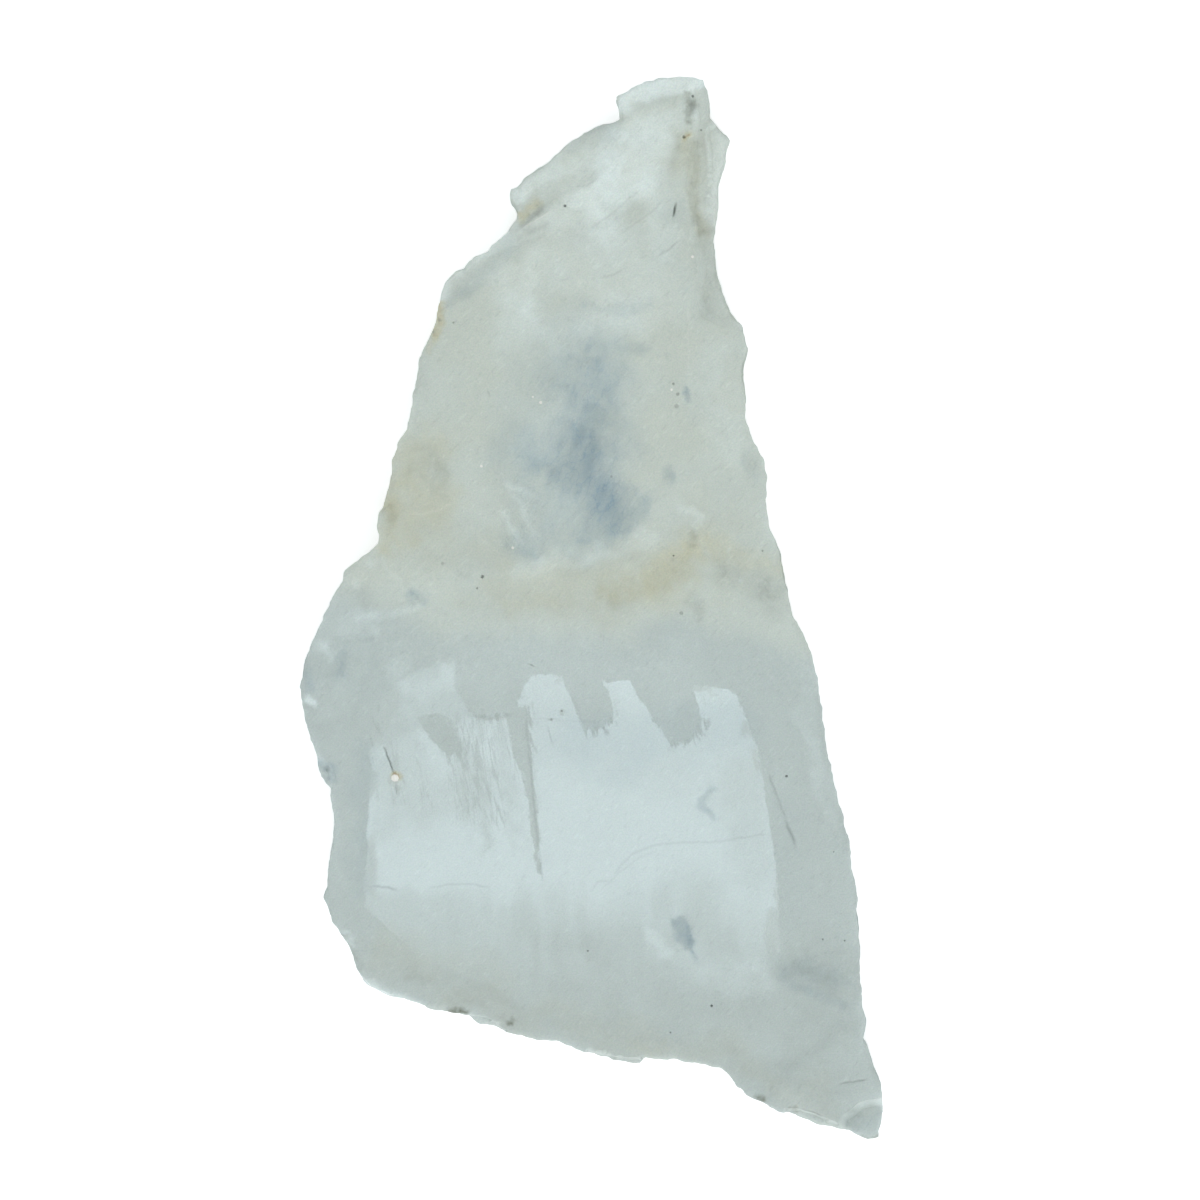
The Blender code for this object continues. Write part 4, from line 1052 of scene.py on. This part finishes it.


class Graph:
    """Adds and joins the nodes of one material."""

    def __init__(self, material):
        material.use_nodes = True
        self.nodes = material.node_tree.nodes
        self.links = material.node_tree.links
        self.surface = self.nodes["Principled BSDF"]
        self.output = self.nodes["Material Output"]

    def put(self, socket, value):
        """Sets a socket to a value, or joins it to another node's output."""
        if isinstance(value, bpy.types.NodeSocket):
            self.links.new(value, socket)
        else:
            socket.default_value = value

    def set_surface(self, **values):
        """Sets or joins the surface's sockets, each named with _ for a space."""
        for name, value in values.items():
            self.put(self.surface.inputs[name.replace("_", " ")], value)

    def math(self, operation, *values, clamp=False):
        node = self.nodes.new("ShaderNodeMath")
        node.operation = operation
        node.use_clamp = clamp
        for socket, value in zip(node.inputs, values):
            self.put(socket, value)
        return node.outputs[0]

    def times(self, first, second, clamp=False):
        return self.math("MULTIPLY", first, second, clamp=clamp)

    def scaled(self, value, scale, added, clamp=False):
        """The value times a scale, with something added."""
        return self.math("MULTIPLY_ADD", value, scale, added, clamp=clamp)

    def less(self, value, taken):
        return self.math("SUBTRACT", value, taken)

    def off_from(self, value, middle):
        """How far a value is from the middle one, either way."""
        return self.math("ABSOLUTE", self.less(value, middle))

    def vector(self, operation, *values):
        node = self.nodes.new("ShaderNodeVectorMath")
        node.operation = operation
        for socket, value in zip(node.inputs, values):
            self.put(socket, value)
        return node.outputs[0]

    def field(self, name):
        node = self.nodes.new("ShaderNodeAttribute")
        node.attribute_name = name
        return node.outputs["Fac"]

    def millimetres(self, turn=0.0, stretch=1.0):
        """The place on the slab in millimetres, in axes turned by an angle and drawn out along Y."""
        place = self.nodes.new("ShaderNodeTexCoord").outputs["Object"]
        node = self.nodes.new("ShaderNodeMapping")
        node.vector_type = "TEXTURE"
        self.put(node.inputs["Vector"], place)
        node.inputs["Rotation"].default_value = (0.0, 0.0, turn)
        node.inputs["Scale"].default_value = (MM, MM * stretch, MM)
        return node.outputs[0]

    def noise(self, place, length, detail=0.0, roughness=0.5):
        node = self.nodes.new("ShaderNodeTexNoise")
        self.put(node.inputs["Vector"], place)
        node.inputs["Scale"].default_value = 1.0 / length
        node.inputs["Detail"].default_value = detail
        node.inputs["Roughness"].default_value = roughness
        return node.outputs["Fac"]

    def between(self, value, low, high):
        """0 at low and 1 at high, smooth between, whichever is the greater."""
        node = self.nodes.new("ShaderNodeMapRange")
        node.interpolation_type = "SMOOTHSTEP"
        for socket, number in zip(node.inputs, (value, low, high, 0.0, 1.0)):
            self.put(socket, number)
        return node.outputs[0]

    def varied(self, value, noise, amount):
        """The value made unevenly stronger and weaker by a noise."""
        return self.times(value, self.scaled(noise, 2 * amount, 1.0 - amount), clamp=True)

    def mix(self, share, first, second):
        node = self.nodes.new("ShaderNodeMix")
        node.data_type = "RGBA"
        self.put(node.inputs["Factor"], share)
        self.put(node.inputs["A"], first)
        self.put(node.inputs["B"], second)
        return node.outputs["Result"]


def veined(graph):
    """How strong the clear crystal's blue is: more on its veins and less between them."""
    veins = graph.noise(graph.millimetres(FIBRE_TURN, VEIN_STRETCH), VEIN_LENGTH, 2.0, VEIN_ROUGHNESS)
    veins = graph.less(1.0, graph.between(graph.off_from(veins, 0.5), *VEIN_LIMITS))
    return graph.scaled(veins, VEIN_GAIN, BETWEEN_VEINS)


def tinted(graph, mottle):
    """The crystal's tint, from the marks on its mesh broken up by noise."""
    deep = graph.varied(graph.field("deep"), mottle, DEEP_AND_SHADE_MOTTLE)
    deep = graph.times(deep, veined(graph), clamp=True)
    frost = graph.varied(graph.field("frost"), mottle, FROST_MOTTLE)
    stain = graph.varied(graph.field("stain"), mottle, STAIN_MOTTLE)
    dirt_and_shadow = graph.varied(graph.field("dirt_and_shadow"), mottle, DIRT_AND_SHADOW_MOTTLE)
    tone = graph.field("tone")
    tint = graph.mix(graph.field("warmth"), COOL_BODY, WARM_BODY)
    # the clear crystal's blue, and painted shade on the bevels
    tint = graph.mix(deep, tint, DEEP_AND_SHADE_COLOUR)
    # milky crystal, with the painted light along the rim
    tint = graph.mix(frost, tint, FROST_COLOUR)
    tint = graph.mix(stain, tint, graph.mix(graph.between(stain, *RUST_STAIN), STRAW, RUST))
    # dirt, and painted shadow under the lip at the foot and heel
    tint = graph.mix(dirt_and_shadow, tint, DIRT_AND_SHADOW_COLOUR)
    tint = graph.mix(graph.times(tone, -1.0, clamp=True), tint, BLACK)
    # white for the bright chips and ridges, and for two painted glints
    return graph.mix(graph.times(tone, 1.0, clamp=True), tint, WHITE)


def coloured(graph, mottle, grain, shine, scratches):
    """The crystal's colour: its tint made lighter and darker by its clouds, flecks, grain, painted
    reflection and painted shade.
    """
    flecks = graph.noise(graph.millimetres(FLECK_TURN, FLECK_STRETCH), FLECK_WIDTH)
    flecks = graph.less(graph.between(flecks, *BRIGHT_FLECKS), graph.between(flecks, *DARK_FLECKS))
    light = 1.0 - 0.5 * (GRAIN + GRAIN_TINT + MOTTLE)  # so that their noises don't change it as a whole
    light = graph.scaled(graph.field("cloud"), CLOUD, light)
    light = graph.scaled(mottle, MOTTLE, light)
    light = graph.scaled(flecks, FLECKS, light)
    # painted reflection: lighter where the window shines
    light = graph.scaled(shine, WINDOW_PAINTED_REFLECTION, light)
    # painted shade: darker on the hairs and on the teeth at the window's edge
    light = graph.scaled(scratches, -PAINTED_SCRATCH_SHADE, light)
    light = graph.scaled(grain, GRAIN, light)
    shades = graph.vector("MULTIPLY_ADD", grain.node.outputs["Color"], [GRAIN_TINT] * 3, light)
    return graph.vector("MULTIPLY", tinted(graph, mottle), shades)


def hairs_in_window(graph):
    """The fine broken scratches in the combed part of the window."""
    along = graph.millimetres(HAIR_TURN, HAIR_STRETCH)
    hairs = graph.off_from(graph.noise(along, HAIR_SPACING, 1.0), 0.5)
    hairs = graph.times(graph.field("combed"), graph.between(hairs, *HAIR_LIMITS))
    breaks = graph.noise(along, HAIR_BREAK_LENGTH)
    return graph.times(hairs, graph.between(breaks, *HAIR_BREAK_LIMITS))


def polish(graph, grain):
    """How much of the smooth cleavage surface is left, and the painted shade of the scratches in it and
    at its edge.
    """
    window = graph.field("window")
    toothed = graph.field("toothed")
    teeth = graph.noise(graph.millimetres(TOOTH_TURN, TOOTH_STRETCH), TOOTH_WIDTH)
    swing = graph.scaled(toothed, TOOTH_REACH, EDGE_REACH)
    ragged = graph.scaled(graph.less(teeth, 0.5), swing, window)
    ragged = graph.scaled(graph.less(grain, 0.5), GRAIN_REACH, ragged)
    inside = graph.between(ragged, *EDGE_LIMITS)
    at_edge = graph.between(graph.off_from(window, TOOTH_DEPTH), *TOOTH_SPAN)
    strokes = graph.times(toothed, graph.between(teeth, *TOOTH_LIMITS))
    strokes = graph.times(strokes, at_edge)
    hairs = graph.times(inside, hairs_in_window(graph))
    whole = graph.scaled(graph.math("MAXIMUM", hairs, strokes), -SCRATCH_DULLING, 1.0)
    shine = graph.times(graph.field("shine"), whole)
    return graph.times(inside, shine, clamp=True), graph.scaled(strokes, TOOTH_SHADE, hairs)


def selenite():
    """Cloudy, see-through gypsum with a satin skin and a polished cleavage window."""
    material = bpy.data.materials.new("selenite")
    graph = Graph(material)
    place = graph.millimetres()
    mottle = graph.noise(place, MOTTLE_LENGTH, 2.0, MOTTLE_ROUGHNESS)
    grain = graph.noise(place, GRAIN_LENGTH)
    shine, scratches = polish(graph, grain)
    clear = graph.scaled(graph.field("deep"), DEEP_CLEARNESS, CLEARNESS)
    relief = graph.nodes.new("ShaderNodeBump")
    relief.inputs["Strength"].default_value = GRAIN_RELIEF
    relief.inputs["Distance"].default_value = GRAIN_DEPTH * MM
    graph.put(relief.inputs["Height"], grain)
    graph.set_surface(
        Base_Color=coloured(graph, mottle, grain, shine, scratches),
        Roughness=graph.scaled(mottle, SATIN_MOTTLE, SATIN),
        Normal=relief.outputs[0],
        IOR=REFRACTION,
        Transmission_Weight=graph.scaled(graph.field("frost"), -FROST_CLOUDING, clear, clamp=True),
        Coat_Weight=shine,
        Coat_Roughness=WINDOW_ROUGHNESS,
        Coat_IOR=REFRACTION,
    )
    inside = graph.nodes.new("ShaderNodeVolumeAbsorption")
    inside.inputs["Color"].default_value = LIGHT_THROUGH
    inside.inputs["Density"].default_value = ABSORPTION
    graph.put(graph.output.inputs["Volume"], inside.outputs[0])
    return material


# --------------------------------------------------------------------------------------- studio

FLOOR_HALF_WIDTH = 12.0  # in metres, so that its edge is out of view from low down
FLOOR_DROP = 0.3  # below the slab, so that the two don't touch
FLOOR_COLOUR, FLOOR_ROUGHNESS, FLOOR_GLOW = (0.9, 0.9, 0.9, 1.0), 0.7, 0.35
SKY_COLOUR, SKY_STRENGTH = (0.97, 0.99, 1.0, 1.0), 0.95
# The lights: place, target, size, strength and tint. The window mirrors the softbox.
LIGHTS = {
    "key": ((250, -1300, 900), (0, 0, 0), (1000, 800), 3.0, (1.0, 1.0, 1.0)),
    "softbox": (
        (-5.5, -68.5, 486.0), (-2.3, -36.3, THICKNESS), (125.0, 110.0), 2.8, (0.63, 0.83, 0.98),
    ),
}


def add_floor():
    """A white table top, which glows a little so that no hard shadow shows."""
    mesh = bpy.data.meshes.new("floor")
    half = FLOOR_HALF_WIDTH
    mesh.from_pydata(
        [(-half, -half, 0), (half, -half, 0), (half, half, 0), (-half, half, 0)], [], [(0, 1, 2, 3)]
    )
    floor = bpy.data.objects.new("floor", mesh)
    floor.location.z = -FLOOR_DROP * MM
    bpy.context.scene.collection.objects.link(floor)
    material = bpy.data.materials.new("white_table")
    Graph(material).set_surface(
        Base_Color=FLOOR_COLOUR, Roughness=FLOOR_ROUGHNESS, Emission_Color=(1.0, 1.0, 1.0, 1.0),
        Emission_Strength=FLOOR_GLOW,
    )
    mesh.materials.append(material)


def add_world():
    world = bpy.data.worlds.new("studio")
    bpy.context.scene.world = world
    world.use_nodes = True
    background = world.node_tree.nodes["Background"]
    background.inputs["Color"].default_value = SKY_COLOUR
    background.inputs["Strength"].default_value = SKY_STRENGTH


def add_light(name, place, target, size, strength, tint):
    """A rectangular soft light, placed in millimetres. Strength is its brightness at any size."""
    data = bpy.data.lights.new(name, "AREA")
    data.shape = "RECTANGLE"
    data.size, data.size_y = (side * MM for side in size)
    data.energy = strength * data.size * data.size_y * math.pi
    data.color = tint
    light = bpy.data.objects.new(name, data)
    light.location = Vector(place) * MM
    light.rotation_mode = "QUATERNION"
    light.rotation_quaternion = (Vector(target) - Vector(place)).to_track_quat("-Z", "Y")
    bpy.context.scene.collection.objects.link(light)


def add_camera():
    data = bpy.data.cameras.new("camera")
    data.lens = LENS
    data.sensor_width = SENSOR
    camera = bpy.data.objects.new("camera", data)
    camera.location = Vector((*PHOTO_CENTRE, PHOTO_DISTANCE + FOCUS_HEIGHT)) * MM
    bpy.context.scene.collection.objects.link(camera)
    bpy.context.scene.camera = camera


def main():
    slab = fine_slab()
    slab.data.materials.append(selenite())
    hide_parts(NODE)
    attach(slab, "root")
    add_floor()
    add_world()
    for name, numbers in LIGHTS.items():
        add_light(name, *numbers)
    add_camera()
    bpy.context.scene.view_settings.view_transform = "Standard"


main()
